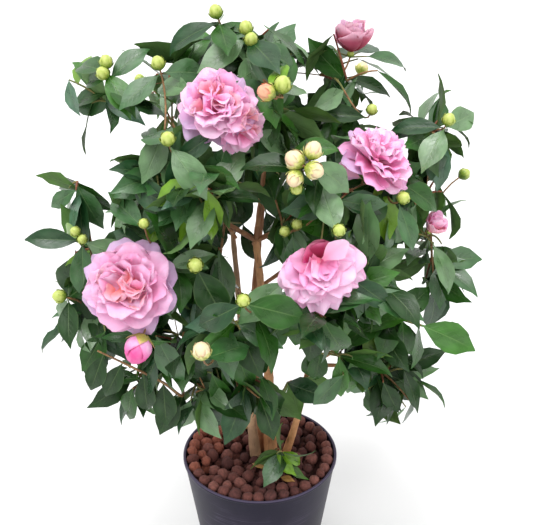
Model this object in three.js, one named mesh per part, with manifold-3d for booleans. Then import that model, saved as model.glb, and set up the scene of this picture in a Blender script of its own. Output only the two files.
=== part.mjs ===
// A camellia shrub in a round plastic pot, about 0.78 m tall. Millimetres, +Z up.
// The origin is the centre of the pot's flat underside, and the shrub's front faces -Y.
// Each stem and bough is one tapering limb, and each cluster of leaves is one uneven solid.

import * as THREE from 'three';
import { mergeVertices } from 'three/addons/utils/BufferGeometryUtils.js';
import Module from 'manifold-3d';

const wasm = await Module();
wasm.setup();

// ---- Driving dimensions, mm ----
const GAP = 0.35; // clearance left between neighbouring solids

const POT = {
  height: 200,
  rimRadius: 100, // outside, at the lip
  footRadius: 70,
  wall: 2.4,
  floor: 4,
  lip: 0.9, // how far the lip's bead stands out
  lipHeight: 4,
  footBevel: 3,
  sides: 36,
  drainHoles: 4,
  drainHoleRadius: 6,
  drainHoleReach: 50,
};

const FILL = {
  top: 196, // level of the clay pellets round the stems
  edgeDrop: 2, // how much lower they lie at the wall
  flatRadius: 46,
};

const LIMB_SIDES = 6;
const LIMB_STEPS = 5;
const ROOT_FLARE = 0.45; // extra radius at the ground, as a share
const ROOT_FLARE_HEIGHT = 16;
const BELOW_GROUND = 12; // length that is cut off to leave the flat foot
const BOUGH_TAPER = 0.45; // share of its radius that a bough loses by its tip

const MASS_SIDES = 10; // facets round the ball that a mass starts from
const MASS_RINGS = 7; // and from its top to its bottom
const MASS_UNEVENNESS = 0.15;
const MASS_SWELL = 1.2; // how far the masses swell to close up on their neighbours
const TWIG_HOLD = 14; // how far inside a mass a bough would run before it is cut

// ---- Stems: where each leaves the pellets, where it forks, and its radius at both ends ----
const STEMS = {
  stem_main: { foot: [14, 1], head: [-3, 0, 500], bow: [5, 0], radius: [7.6, 4.1] },
  stem_left: { foot: [-5, -4], head: [-30, 6, 505], bow: [-1, 0], radius: [6.4, 3.0] },
  stem_rear: { foot: [5, 15], head: [6, 26, 548], bow: [-14, -4], radius: [6.0, 3.0] },
  stem_right: { foot: [30, -3], head: [60, -16, 338], bow: [4, 2], radius: [5.2, 3.2] },
  stem_basal: { foot: [22, -18], head: [27, -36, 222], bow: [1, 0], radius: [2.6, 1.8] },
};

// ---- Foliage masses: bearing in degrees (0 is +X, 270 the front), reach from the pot's
// axis, height of the centre, and half sizes outwards, across and up ----
const MASSES = {
  crown_top: { bearing: 180, reach: 16, height: 728, half: [44, 42, 40] },
  crown_front: { bearing: 283, reach: 82, height: 680, half: [46, 54, 47] },
  crown_left: { bearing: 190, reach: 111, height: 696, half: [52, 46, 39] },
  crown_right: { bearing: 15, reach: 113, height: 688, half: [48, 46, 56] },
  crown_rear: { bearing: 85, reach: 95, height: 688, half: [52, 60, 50] },
  left_upper: { bearing: 180, reach: 184, height: 673, half: [50, 42, 34] },
  right_upper: { bearing: 0, reach: 205, height: 633, half: [50, 44, 36] },

  left_tip: { bearing: 180, reach: 218, height: 574, half: [34, 38, 32] },
  left_shoulder: { bearing: 220, reach: 156, height: 619, half: [48, 52, 50] },
  front_left_upper: { bearing: 253, reach: 157, height: 612, half: [42, 40, 47] },
  front_right_upper: { bearing: 301, reach: 164, height: 603, half: [42, 46, 53] },
  right_shoulder: { bearing: 337, reach: 150, height: 590, half: [50, 46, 48] },
  right_mid: { bearing: 356, reach: 204, height: 565, half: [40, 44, 42] },
  rear_left_upper: { bearing: 135, reach: 155, height: 618, half: [55, 60, 54] },
  rear_upper: { bearing: 90, reach: 168, height: 572, half: [50, 62, 56] },
  rear_right_upper: { bearing: 45, reach: 165, height: 612, half: [55, 60, 54] },

  left_mid: { bearing: 188, reach: 204, height: 503, half: [38, 48, 40] },
  front_left: { bearing: 225, reach: 150, height: 520, half: [50, 58, 58] },
  front_low: { bearing: 262, reach: 181, height: 480, half: [40, 48, 34] },
  front_near: { bearing: 289, reach: 187, height: 492, half: [36, 38, 30] },
  front_right: { bearing: 318, reach: 165, height: 500, half: [50, 55, 58] },
  right: { bearing: 0, reach: 220, height: 478, half: [37, 56, 54] },
  rear_left: { bearing: 145, reach: 186, height: 500, half: [52, 60, 58] },
  rear_right: { bearing: 35, reach: 190, height: 486, half: [52, 58, 60] },

  left_low: { bearing: 196, reach: 212, height: 436, half: [42, 48, 36] },
  front_left_low: { bearing: 230, reach: 156, height: 432, half: [45, 52, 40] },
  right_low: { bearing: 343, reach: 176, height: 425, half: [52, 55, 46] },
  front_right_low: { bearing: 314, reach: 138, height: 392, half: [45, 50, 42] },
  rear_left_low: { bearing: 130, reach: 176, height: 402, half: [48, 54, 46] },
  rear_right_low: { bearing: 50, reach: 172, height: 388, half: [48, 52, 48] },
  hanging_left: { bearing: 207, reach: 177, height: 361, half: [62, 44, 40] },
  hanging_right: { bearing: 2, reach: 184, height: 312, half: [60, 52, 58] },
  foot_front: { bearing: 264, reach: 98, height: 362, half: [40, 48, 38] },
  foot_shoot: { bearing: 300, reach: 62, height: 226, half: [32, 46, 20] },
  foot_left: { bearing: 238, reach: 124, height: 350, half: [32, 34, 40] },
  foot_right: { bearing: 306, reach: 68, height: 322, half: [34, 42, 34] },
  heart_right: { bearing: 300, reach: 64, height: 548, half: [30, 35, 36] },
  heart_left: { bearing: 230, reach: 80, height: 494, half: [28, 31, 34] },
};

// ---- Boughs: the stem that each leaves, the share of its length where it does, the mass
// that it enters, how far its middle is lifted off a straight line, and its radius ----
const BOUGHS = {
  bough_crown: { stem: 'stem_main', at: 1, into: 'crown_front', lift: 6, radius: 3.4 },
  bough_upper_left: { stem: 'stem_main', at: 1, into: 'left_shoulder', lift: -6, radius: 3.2 },
  bough_upper_right: { stem: 'stem_main', at: 1, into: 'right_shoulder', lift: -4, radius: 3.2 },
  bough_front: { stem: 'stem_main', at: 0.72, into: 'front_low', lift: -8, radius: 2.6 },
  bough_left: { stem: 'stem_left', at: 0.62, into: 'left_mid', lift: 8, radius: 2.8 },
  bough_low_left: { stem: 'stem_left', at: 0.34, into: 'hanging_left', lift: 22, radius: 2.6 },
  bough_rear_left: { stem: 'stem_left', at: 1, into: 'rear_left_upper', lift: -4, radius: 2.6 },
  bough_rear: { stem: 'stem_rear', at: 1, into: 'rear_upper', lift: 4, radius: 2.8 },
  bough_top: { stem: 'stem_rear', at: 1, into: 'crown_rear', lift: 0, radius: 2.6 },
  bough_rear_right: { stem: 'stem_rear', at: 0.66, into: 'rear_right', lift: 10, radius: 2.8 },
  bough_right: { stem: 'stem_right', at: 1, into: 'right_low', lift: 6, radius: 2.8 },
  bough_low_right: { stem: 'stem_right', at: 1, into: 'hanging_right', lift: 14, radius: 2.8 },
  bough_low_front: { stem: 'stem_right', at: 0.5, into: 'foot_front', lift: 10, radius: 2.2 },
};

// ---- Finishes ----
function finish(color, roughness) {
  return new THREE.MeshStandardMaterial({ color, roughness, metalness: 0 });
}

const POT_FINISH = finish(0x3d3b47, 0.42);
const FILL_FINISH = finish(0x6b443c, 0.9);
const BARK_FINISH = finish(0x8a5f3c, 0.75);
const LEAF_FINISHES = [finish(0x33552a, 0.45), finish(0x3f6638, 0.45), finish(0x2a4a24, 0.45)];

// ---- Solids: to and from manifold-3d, which only joins and cuts ----
function toSolid(geometry) {
  const bare = geometry.clone();
  bare.deleteAttribute('normal');
  bare.deleteAttribute('uv');
  const merged = mergeVertices(bare, 1e-4);
  return new wasm.Manifold(
    new wasm.Mesh({
      numProp: 3,
      vertProperties: new Float32Array(merged.attributes.position.array),
      triVerts: new Uint32Array(merged.index.array),
    }),
  );
}

function toGeometry(solid) {
  const mesh = solid.getMesh();
  const geometry = new THREE.BufferGeometry();
  const positions = new THREE.BufferAttribute(new Float32Array(mesh.vertProperties), mesh.numProp);
  geometry.setAttribute('position', positions);
  geometry.setIndex(new THREE.BufferAttribute(new Uint32Array(mesh.triVerts), 1));
  return geometry;
}

function cutBy(solid, cutters) {
  const left = cutters.reduce((rest, cutter) => rest.subtract(cutter), solid);
  const pieces = left.decompose();
  return pieces.reduce((best, piece) => (piece.volume() > best.volume() ? piece : best));
}

// ---- Pot and its fill, turned round the Z axis ----
function lathe(profile) {
  const points = profile.map(([radius, height]) => new THREE.Vector2(radius, height));
  return new THREE.LatheGeometry(points, POT.sides).rotateX(Math.PI / 2);
}

function wallRadius(height) {
  const share = (height - POT.footBevel) / (POT.height - POT.footBevel);
  return POT.footRadius + (POT.rimRadius - POT.lip - POT.footRadius) * share;
}

function potSolid() {
  const lipFoot = POT.height - POT.lipHeight;
  const shell = toSolid(
    lathe([
      [0, 0],
      [POT.footRadius - POT.footBevel, 0],
      [POT.footRadius, POT.footBevel],
      [wallRadius(lipFoot), lipFoot],
      [POT.rimRadius, lipFoot + 1],
      [POT.rimRadius, POT.height],
      [wallRadius(POT.height) - POT.wall, POT.height],
      [wallRadius(POT.floor) - POT.wall, POT.floor],
      [0, POT.floor],
    ]),
  );
  const holes = [];
  for (let i = 0; i < POT.drainHoles; i += 1) {
    const angle = (i / POT.drainHoles) * 2 * Math.PI;
    const hole = new THREE.CylinderGeometry(POT.drainHoleRadius, POT.drainHoleRadius, 3 * POT.floor, 8);
    hole.rotateX(Math.PI / 2);
    hole.translate(POT.drainHoleReach * Math.cos(angle), POT.drainHoleReach * Math.sin(angle), 0);
    holes.push(toSolid(hole));
  }
  return cutBy(shell, holes);
}

function fillSolid() {
  const low = POT.floor + GAP;
  const edge = FILL.top - FILL.edgeDrop;
  return toSolid(
    lathe([
      [0, low],
      [wallRadius(low) - POT.wall - GAP, low],
      [wallRadius(edge) - POT.wall - GAP, edge],
      [FILL.flatRadius, FILL.top],
      [0, FILL.top],
    ]),
  );
}

// ---- Limbs: a cylinder bent along a curve, its radius narrowing from foot to tip ----
function bentCylinder(curve, radiusAt, grow) {
  const cylinder = new THREE.CylinderGeometry(1, 1, 1, LIMB_SIDES, LIMB_STEPS);
  const frames = curve.computeFrenetFrames(LIMB_STEPS, false);
  const position = cylinder.attributes.position;
  const length = curve.getLength();
  for (let i = 0; i < position.count; i += 1) {
    const step = Math.round((position.getY(i) + 0.5) * LIMB_STEPS);
    const share = step / LIMB_STEPS;
    const radius = radiusAt(share, share * length) + grow;
    const point = curve.getPointAt(share);
    const beyondEnd = grow * (Math.floor(share) - Math.floor(1 - share));
    point.addScaledVector(frames.tangents[step], beyondEnd);
    point.addScaledVector(frames.binormals[step], position.getX(i) * radius);
    point.addScaledVector(frames.normals[step], position.getZ(i) * radius);
    position.setXYZ(i, point.x, point.y, point.z);
  }
  return toSolid(cylinder);
}

function stemCurve(stem) {
  const [footX, footY] = stem.foot;
  const [headX, headY, headZ] = stem.head;
  const foot = new THREE.Vector3(footX, footY, FILL.top - BELOW_GROUND);
  const head = new THREE.Vector3(headX, headY, headZ);
  const middle = foot.clone().lerp(head, 0.5);
  middle.x += stem.bow[0];
  middle.y += stem.bow[1];
  return new THREE.CatmullRomCurve3([foot, middle, head]);
}

function stemRadiusAt(stem, share, length) {
  const [low, high] = stem.radius;
  const aboveGround = Math.max(0, length - BELOW_GROUND);
  const flare = 1 + ROOT_FLARE * Math.exp(-aboveGround / ROOT_FLARE_HEIGHT);
  return (low + (high - low) * share) * flare;
}

function stemSolid(stem, grow = 0) {
  return bentCylinder(stemCurve(stem), (share, length) => stemRadiusAt(stem, share, length), grow);
}

// The swelling runs inwards and sideways, so a mass keeps its outermost point.
function massCentre(mass) {
  const angle = THREE.MathUtils.degToRad(mass.bearing);
  const reach = mass.reach - (MASS_SWELL - 1) * mass.half[0];
  return new THREE.Vector3(reach * Math.cos(angle), reach * Math.sin(angle), mass.height);
}

function boughSolid(bough, grow = 0) {
  const start = stemCurve(STEMS[bough.stem]).getPointAt(bough.at);
  const centre = massCentre(MASSES[bough.into]);
  const reach = start.distanceTo(centre);
  const end = centre.clone().lerp(start, TWIG_HOLD / reach);
  const middle = start.clone().lerp(end, 0.5);
  middle.z += bough.lift;
  const curve = new THREE.QuadraticBezierCurve3(start, middle, end);
  return bentCylinder(curve, (share) => bough.radius * (1 - BOUGH_TAPER * share), grow);
}

// ---- Foliage masses: a ball made uneven by three crossing waves, stretched and set out ----
function wave(direction, seed) {
  const { x, y, z } = direction;
  const broad = Math.sin(2.3 * x + 1.9 * seed) + Math.sin(2.7 * y + 2.3 * seed + 1);
  const fine = Math.sin(4.9 * z + 3.1 * seed) * Math.cos(4.3 * x - 1.7 * seed);
  return (broad + 1.2 * fine) / 2;
}

function massSolid(mass, seed, grow = 0) {
  const ball = new THREE.SphereGeometry(1, MASS_SIDES, MASS_RINGS).rotateX(Math.PI / 2);
  const position = ball.attributes.position;
  const direction = new THREE.Vector3();
  for (let i = 0; i < position.count; i += 1) {
    direction.fromBufferAttribute(position, i).normalize();
    const size = 1 + MASS_UNEVENNESS * wave(direction, seed);
    position.setXYZ(i, direction.x * size, direction.y * size, direction.z * size);
  }
  const [outwards, across, up] = mass.half.map((size) => size * MASS_SWELL);
  ball.scale(outwards + grow, across + grow, up + grow);
  ball.rotateZ(THREE.MathUtils.degToRad(mass.bearing));
  const centre = massCentre(mass);
  ball.translate(centre.x, centre.y, centre.z);
  return toSolid(ball);
}

// ---- Assembly ----
const group = new THREE.Group();
group.name = 'camellia_in_pot';

function addMesh(name, solid, material) {
  const mesh = new THREE.Mesh(toGeometry(solid), material);
  mesh.name = name;
  group.add(mesh);
}

function groundSlab() {
  const slab = new THREE.BoxGeometry(4 * POT.rimRadius, 4 * POT.rimRadius, FILL.top);
  slab.translate(0, 0, FILL.top / 2 + GAP);
  return toSolid(slab);
}

addMesh('pot', potSolid(), POT_FINISH);
addMesh('pellet_fill', fillSolid(), FILL_FINISH);

const ground = groundSlab();
const grownStems = [];
for (const [name, stem] of Object.entries(STEMS)) {
  addMesh(name, cutBy(stemSolid(stem), [ground, ...grownStems]), BARK_FINISH);
  grownStems.push(stemSolid(stem, GAP));
}

// A mass gives way to the stems and to the masses before it.
const grownMasses = [];
Object.entries(MASSES).forEach(([name, mass], index) => {
  const solid = cutBy(massSolid(mass, index), [...grownStems, ...grownMasses]);
  addMesh(name, solid, LEAF_FINISHES[index % LEAF_FINISHES.length]);
  grownMasses.push(massSolid(mass, index, 2 * GAP));
});

// A bough starts against its stem and stops where it enters the first mass on its way.
const grownBoughs = [];
for (const [name, bough] of Object.entries(BOUGHS)) {
  const solid = cutBy(boughSolid(bough), [...grownStems, ...grownMasses, ...grownBoughs]);
  addMesh(name, solid, BARK_FINISH);
  grownBoughs.push(boughSolid(bough, GAP));
}

export default group;
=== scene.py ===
"""Looks of a potted camellia shrub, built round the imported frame.

The pot, its clay pellets, the bark, the twigs with their leaves, the blooms and the buds are
classes below. Twigs and leaves grow by a seeded rule from the frame's boughs into its foliage
masses, which then aren't shown. Lengths are in metres, and the shrub's front faces -Y.
"""

import logging
import math
import random
from collections.abc import Callable
from dataclasses import dataclass, field
from enum import Enum

import bmesh
import bpy
import numpy as np
from mathutils import Matrix, Quaternion, Vector, noise
from mathutils.bvhtree import BVHTree


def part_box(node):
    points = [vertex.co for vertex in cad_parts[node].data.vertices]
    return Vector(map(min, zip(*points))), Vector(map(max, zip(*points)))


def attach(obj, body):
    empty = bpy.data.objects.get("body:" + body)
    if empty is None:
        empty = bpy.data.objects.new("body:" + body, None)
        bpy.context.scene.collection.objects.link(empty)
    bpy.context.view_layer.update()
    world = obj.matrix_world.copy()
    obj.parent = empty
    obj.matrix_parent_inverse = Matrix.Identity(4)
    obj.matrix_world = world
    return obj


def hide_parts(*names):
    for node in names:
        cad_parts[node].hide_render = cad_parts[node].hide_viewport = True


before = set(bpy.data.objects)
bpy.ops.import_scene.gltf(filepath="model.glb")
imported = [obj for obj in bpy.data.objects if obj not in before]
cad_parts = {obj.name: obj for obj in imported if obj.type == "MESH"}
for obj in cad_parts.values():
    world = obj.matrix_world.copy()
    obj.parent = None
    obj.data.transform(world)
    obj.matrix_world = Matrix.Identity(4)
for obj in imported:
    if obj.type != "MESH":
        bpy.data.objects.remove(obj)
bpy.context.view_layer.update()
LOG = logging.getLogger("camellia")

BODY = "root"
UP = Vector((0.0, 0.0, 1.0))
FRONT = Vector((0.0, -1.0, 0.0))
SEED = 20260
GOLDEN_ANGLE = math.radians(137.5)
LYING_FACE = Vector((0.0, -0.45, 1.0))
PATTERN_MAP = "pattern"
BAKE_MAP = "OFBake"
MM = 0.001


# ---------------------------------------------------------------- shader tools


class Value:
    """A number that varies over a surface, on which Python arithmetic adds Math nodes."""

    def __init__(self, shade: "Shade", socket: bpy.types.NodeSocket) -> None:
        """Wraps an output socket of one of the shade's nodes."""
        self.shade = shade
        self.socket = socket

    def math(self, operation: str, *others: "Value | float", swap: bool = False) -> "Value":
        """Adds one Math node.

        Args:
            operation: the node's operation, such as MULTIPLY.
            others: the other operands, in order.
            swap: whether this value is the last operand.

        Returns:
            The node's result.
        """
        operands = [*others, self] if swap else [self, *others]
        made = self.shade.node("ShaderNodeMath", dict(enumerate(operands)), operation=operation)
        return Value(self.shade, made.outputs[0])

    def __add__(self, other: "Value | float") -> "Value":
        """Adds."""
        return self.math("ADD", other)

    __radd__ = __add__

    def __mul__(self, other: "Value | float") -> "Value":
        """Multiplies."""
        return self.math("MULTIPLY", other)

    __rmul__ = __mul__

    def __sub__(self, other: "Value | float") -> "Value":
        """Subtracts the other from this."""
        return self.math("SUBTRACT", other)

    def __rsub__(self, other: float) -> "Value":
        """Subtracts this from a number."""
        return self.math("SUBTRACT", other, swap=True)

    def __truediv__(self, other: "Value | float") -> "Value":
        """Divides by the other."""
        return self.math("DIVIDE", other)

    def __pow__(self, other: float) -> "Value":
        """Raises to a power."""
        return self.math("POWER", other)

    def __abs__(self) -> "Value":
        """The size without its sign."""
        return self.math("ABSOLUTE")

    def cosine(self) -> "Value":
        """The cosine, of radians."""
        return self.math("COSINE")

    def ramp(self, low: float, high: float) -> "Value":
        """0 up to low, 1 from high on, and smooth between. low may be the larger.

        Args:
            low: where the result is 0.
            high: where it is 1.

        Returns:
            The ramped value.
        """
        inputs = {"Value": self, "From Min": low, "From Max": high}
        made = self.shade.node("ShaderNodeMapRange", inputs, interpolation_type="SMOOTHSTEP")
        return Value(self.shade, made.outputs["Result"])


class Shade:
    """The nodes of one material, or of the sky."""

    def __init__(self, name: str, sky: bool = False) -> None:
        """Starts an empty material of that name, or an empty sky.

        Args:
            name: the name.
            sky: whether it is a sky.
        """
        self.material = (bpy.data.worlds if sky else bpy.data.materials).new(name)
        self.material.use_nodes = True
        self.tree = self.material.node_tree
        self.tree.nodes.clear()

    def node(self, kind: str, inputs: dict | None = None, **settings: object) -> bpy.types.Node:
        """Adds a node, sets its settings first and then its inputs.

        Args:
            kind: the node's type.
            inputs: values, Values or sockets by input name or number.
            settings: the node's own settings, and stops for a colour ramp.

        Returns:
            The new node.
        """
        made = self.tree.nodes.new(kind)
        stops = settings.pop("stops", None)
        for key, value in settings.items():
            setattr(made, key, value)
        if stops:
            elements = made.color_ramp.elements
            while len(elements) < len(stops):
                elements.new(0.5)
            for element, (position, colour) in zip(elements, stops):
                element.position = position
                element.color = (*colour, 1.0)
        for key, value in (inputs or {}).items():
            socket = made.inputs[key]
            if isinstance(value, Value):
                value = value.socket
            if isinstance(value, bpy.types.NodeSocket):
                self.tree.links.new(value, socket)
            elif isinstance(value, tuple) and socket.type == "RGBA":
                socket.default_value = (*value, 1.0)
            else:
                socket.default_value = value
        return made

    def place(self, stretch: tuple[float, float, float] = (1.0, 1.0, 1.0)) -> bpy.types.NodeSocket:
        """The piece's own Object coordinates, stretched."""
        coordinates = self.node("ShaderNodeTexCoord").outputs["Object"]
        return self.node("ShaderNodeMapping", {"Vector": coordinates, "Scale": stretch}).outputs[0]

    def map_axes(self) -> tuple[Value, Value, bpy.types.NodeSocket]:
        """Across and along the piece's own pattern map, and the map as a vector.

        Returns:
            The two values and the vector.
        """
        vector = self.node("ShaderNodeUVMap", uv_map=PATTERN_MAP).outputs[0]
        parts = self.node("ShaderNodeSeparateXYZ", {"Vector": vector}).outputs
        return Value(self, parts["X"]), Value(self, parts["Y"]), vector

    def noise(self, vector: bpy.types.NodeSocket, scale: float, detail: float = 3.0) -> Value:
        """A noise of that scale."""
        inputs = {"Vector": vector, "Scale": scale, "Detail": detail}
        return Value(self, self.node("ShaderNodeTexNoise", inputs).outputs["Fac"])

    def mix(self, share: Value, first: object, second: object) -> bpy.types.NodeSocket:
        """Mixes two colours."""
        inputs = {"Factor": share, 6: first, 7: second}
        return self.node("ShaderNodeMix", inputs, data_type="RGBA").outputs[2]

    def bump(self, height: Value, strength: float, distance: float) -> bpy.types.NodeSocket:
        """A normal bent by the height."""
        inputs = {"Height": height, "Strength": strength, "Distance": distance}
        return self.node("ShaderNodeBump", inputs).outputs[0]

    def surface(self, inputs: dict) -> bpy.types.Material:
        """Ends the material with a Principled shader.

        Args:
            inputs: its sockets' values or links by name.

        Returns:
            The finished material.
        """
        shader = self.node("ShaderNodeBsdfPrincipled", inputs)
        self.node("ShaderNodeOutputMaterial", {"Surface": shader.outputs[0]})
        return self.material


def srgb(red: int, green: int, blue: int) -> tuple[float, float, float]:
    """A colour of 0 to 255 as seen on a screen, as linear values.

    Args:
        red: its red.
        green: its green.
        blue: its blue.

    Returns:
        The linear colour.
    """
    return tuple(
        c / 3294.6 if c <= 10 else ((c / 255 + 0.055) / 1.055) ** 2.4 for c in (red, green, blue)
    )


# -------------------------------------------------------------------- finishes


@dataclass(frozen=True)
class LeafFinish:
    """A leaf's glossy upper side or its paler, duller underside."""

    name: str
    colour: tuple[float, float, float]
    rib: tuple[float, float, float]
    roughness: float = 0.25
    veins: float = 0.08
    gloss: float = 0.7

    def material(self) -> bpy.types.Material:
        """The finish as a material that reads the leaf's own map.

        Returns:
            The material.
        """
        shade = Shade(self.name)
        across, along, vector = shade.map_axes()
        side = abs(across - 0.5)
        rib = side.ramp(0.026, 0.008) * along.ramp(1.0, 0.5)
        slant = (along - side * 0.62) * (2 * math.pi * 8.5)
        vein = slant.cosine().ramp(0.8, 0.99) * side.ramp(0.4, 0.06)
        # Mottle: the green's own uneven tone, and partly painted light and shade in broad lighter and
        # darker patches.
        mottle_and_sheen = shade.noise(vector, 2.6).ramp(0.3, 0.72)
        deep = tuple(c * 0.68 for c in self.colour)
        pale = tuple(c * 1.18 for c in self.colour)
        base = shade.mix(mottle_and_sheen, deep, pale)
        # Painted sheen: soft pale grey-green patches, stronger on glossier tints, stand in for the
        # sky's reflection on the leaf.
        bloom = shade.noise(vector, 1.5, 1.0).ramp(0.42, 0.66) * (self.gloss * 0.14)
        with_painted_sheen = shade.mix(bloom, base, srgb(158, 182, 150))
        veined = shade.mix(vein * self.veins, with_painted_sheen, self.rib)
        # Painted highlight: a band in the rib's paler colour along the blade's margin stands in for
        # light caught on the edge.
        oval = ((along - 0.5) * math.pi).cosine() * 0.5
        margin = (oval - side).ramp(0.045, 0.0) * along.ramp(0.1, 0.2) * along.ramp(0.86, 0.74)
        edge_highlit = shade.mix(margin * 0.35, veined, self.rib)
        height = 1.0 - (vein * 0.4 + rib) + shade.noise(vector, 5.0) * 1.6
        return shade.surface({
            "Base Color": shade.mix(rib * 0.36, edge_highlit, self.rib),
            "Roughness": mottle_and_sheen * 0.14 + self.roughness,
            "Specular IOR Level": self.gloss,
            "Normal": shade.bump(height, 0.3, 0.0009),
        })


@dataclass(frozen=True)
class PetalFinish:
    """A petal, deeper at its foot and paler at its edge."""

    name: str
    foot: tuple[float, float, float]
    middle: tuple[float, float, float]
    edge: tuple[float, float, float]
    foot_end: float = 0.5

    def material(self) -> bpy.types.Material:
        """The finish as a material that reads the petal's own map.

        Returns:
            The material.
        """
        shade = Shade(self.name)
        _, along, vector = shade.map_axes()
        lower = shade.mix(along.ramp(0.0, self.foot_end), self.foot, self.middle)
        colour = shade.mix(along.ramp(self.foot_end, 1.0), lower, self.edge)
        streaks = shade.node("ShaderNodeMapping", {"Vector": vector, "Scale": (14.0, 1.6, 1.0)})
        veins = shade.noise(streaks.outputs[0], 2.2)
        deeper = tuple(c * 0.9 for c in self.middle)
        return shade.surface({
            "Base Color": shade.mix(veins.ramp(0.52, 0.75) * 0.25, colour, deeper),
            "Roughness": 0.6,
            "Specular IOR Level": 0.25,
            "Subsurface Weight": 0.4,
            "Subsurface Radius": (0.009, 0.004, 0.005),
            "Subsurface Scale": 1.0,
            "Normal": shade.bump(veins, 0.15, 0.0006),
        })


@dataclass(frozen=True)
class BarkFinish:
    """Smooth young bark with paler and redder streaks along the limb."""

    name: str
    colour: tuple[float, float, float]
    streak: tuple[float, float, float]
    dark: tuple[float, float, float]
    grain: float = 60.0

    def material(self) -> bpy.types.Material:
        """The finish as a material in the piece's own place.

        Returns:
            The material.
        """
        shade = Shade(self.name)
        drawn = shade.place((1.0, 1.0, 0.16))
        fibre = shade.noise(drawn, self.grain * 4, 6.0)
        patch = shade.noise(shade.place(), self.grain, 4.0)
        base = shade.mix(patch.ramp(0.4, 0.62), self.colour, self.streak)
        colour = shade.mix(fibre.ramp(0.55, 0.72) * 0.75, base, self.dark)
        return shade.surface({
            "Base Color": colour,
            "Roughness": patch * 0.25 + 0.55,
            "Normal": shade.bump(fibre, 0.6, 0.0012),
        })


@dataclass(frozen=True)
class PotFinish:
    """Dark moulded plastic with a painted highlight along the rim's top, fine scuffs round it and a
    little dust.
    """

    name: str
    colour: tuple[float, float, float]
    wear_and_highlight: tuple[float, float, float]
    rim_height: float

    def material(self) -> bpy.types.Material:
        """The finish as a material in the pot's own place.

        Returns:
            The material.
        """
        shade = Shade(self.name)
        place = shade.place()
        height = Value(shade, shade.node("ShaderNodeSeparateXYZ", {"Vector": place}).outputs["Z"])
        rings = shade.place((1.0, 1.0, 26.0))
        scuff = shade.noise(rings, 30.0, 6.0).ramp(0.62, 0.72)
        cloud = shade.noise(place, 14.0, 4.0)
        lines = shade.noise(shade.place((1.0, 1.0, 60.0)), 12.0, 3.0).ramp(0.55, 0.64)
        marks = (scuff * cloud.ramp(0.4, 0.65) + lines * cloud.ramp(0.48, 0.66)) * 0.5
        # Painted highlight: a pale band along the top edge of the rim, in the paler colour that the
        # scuffs and dust use too.
        lip = height.ramp(self.rim_height - 0.0022, self.rim_height - 0.0004)
        dusty = shade.mix(cloud.ramp(0.35, 0.75) * 0.12, self.colour, self.wear_and_highlight)
        scuffed = shade.mix(marks, dusty, self.wear_and_highlight)
        return shade.surface({
            "Base Color": shade.mix(lip * 0.75, scuffed, self.wear_and_highlight),
            "Roughness": cloud * 0.22 + 0.34,
            "Specular IOR Level": 0.2,
            "Normal": shade.bump(scuff * 0.4 + shade.noise(place, 900.0), 0.12, 0.0004),
        })


@dataclass(frozen=True)
class GrainFinish:
    """Something small and grainy, such as a clay pellet or a bud's scale, maybe tipped."""

    name: str
    colour: tuple[float, float, float]
    fleck: tuple[float, float, float]
    roughness: float
    grain: float
    relief: float
    tip: tuple[float, float, float] | None = None

    def material(self) -> bpy.types.Material:
        """The finish as a material that reads the small thing's own map.

        Returns:
            The material.
        """
        shade = Shade(self.name)
        _, along, vector = shade.map_axes()
        pits = shade.noise(vector, self.grain, 5.0)
        colour = shade.mix(pits.ramp(0.35, 0.68), self.colour, self.fleck)
        if self.tip:
            colour = shade.mix((along + pits * 0.4 - 0.2).ramp(0.35, 0.95), colour, self.tip)
        return shade.surface({
            "Base Color": colour,
            "Roughness": self.roughness,
            "Normal": shade.bump(pits, self.relief, 0.0015),
        })


# ------------------------------------------------------------------ mesh tools


@dataclass
class Template:
    """A small mesh kept as arrays, so that many placed copies are joined quickly."""

    points: np.ndarray
    corners: np.ndarray
    sides: np.ndarray
    slots: np.ndarray
    maps: np.ndarray

    @classmethod
    def taken_from(cls, mesh: bmesh.types.BMesh) -> "Template":
        """Reads and frees a bmesh whose pattern map is its only one.

        Args:
            mesh: the bmesh, which is freed.

        Returns:
            The template.
        """
        data = bpy.data.meshes.new("template")
        mesh.to_mesh(data)
        mesh.free()
        points = np.empty(len(data.vertices) * 3, np.float32)
        data.vertices.foreach_get("co", points)
        corners = np.empty(len(data.loops), np.int32)
        data.loops.foreach_get("vertex_index", corners)
        sides = np.empty(len(data.polygons), np.int32)
        data.polygons.foreach_get("loop_total", sides)
        slots = np.empty(len(data.polygons), np.int32)
        data.polygons.foreach_get("material_index", slots)
        maps = np.zeros(len(data.loops) * 2, np.float32)
        if data.uv_layers:
            data.uv_layers[0].uv.foreach_get("vector", maps)
        bpy.data.meshes.remove(data)
        return cls(points.reshape(-1, 3), corners, sides, slots, maps.reshape(-1, 2))


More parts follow.
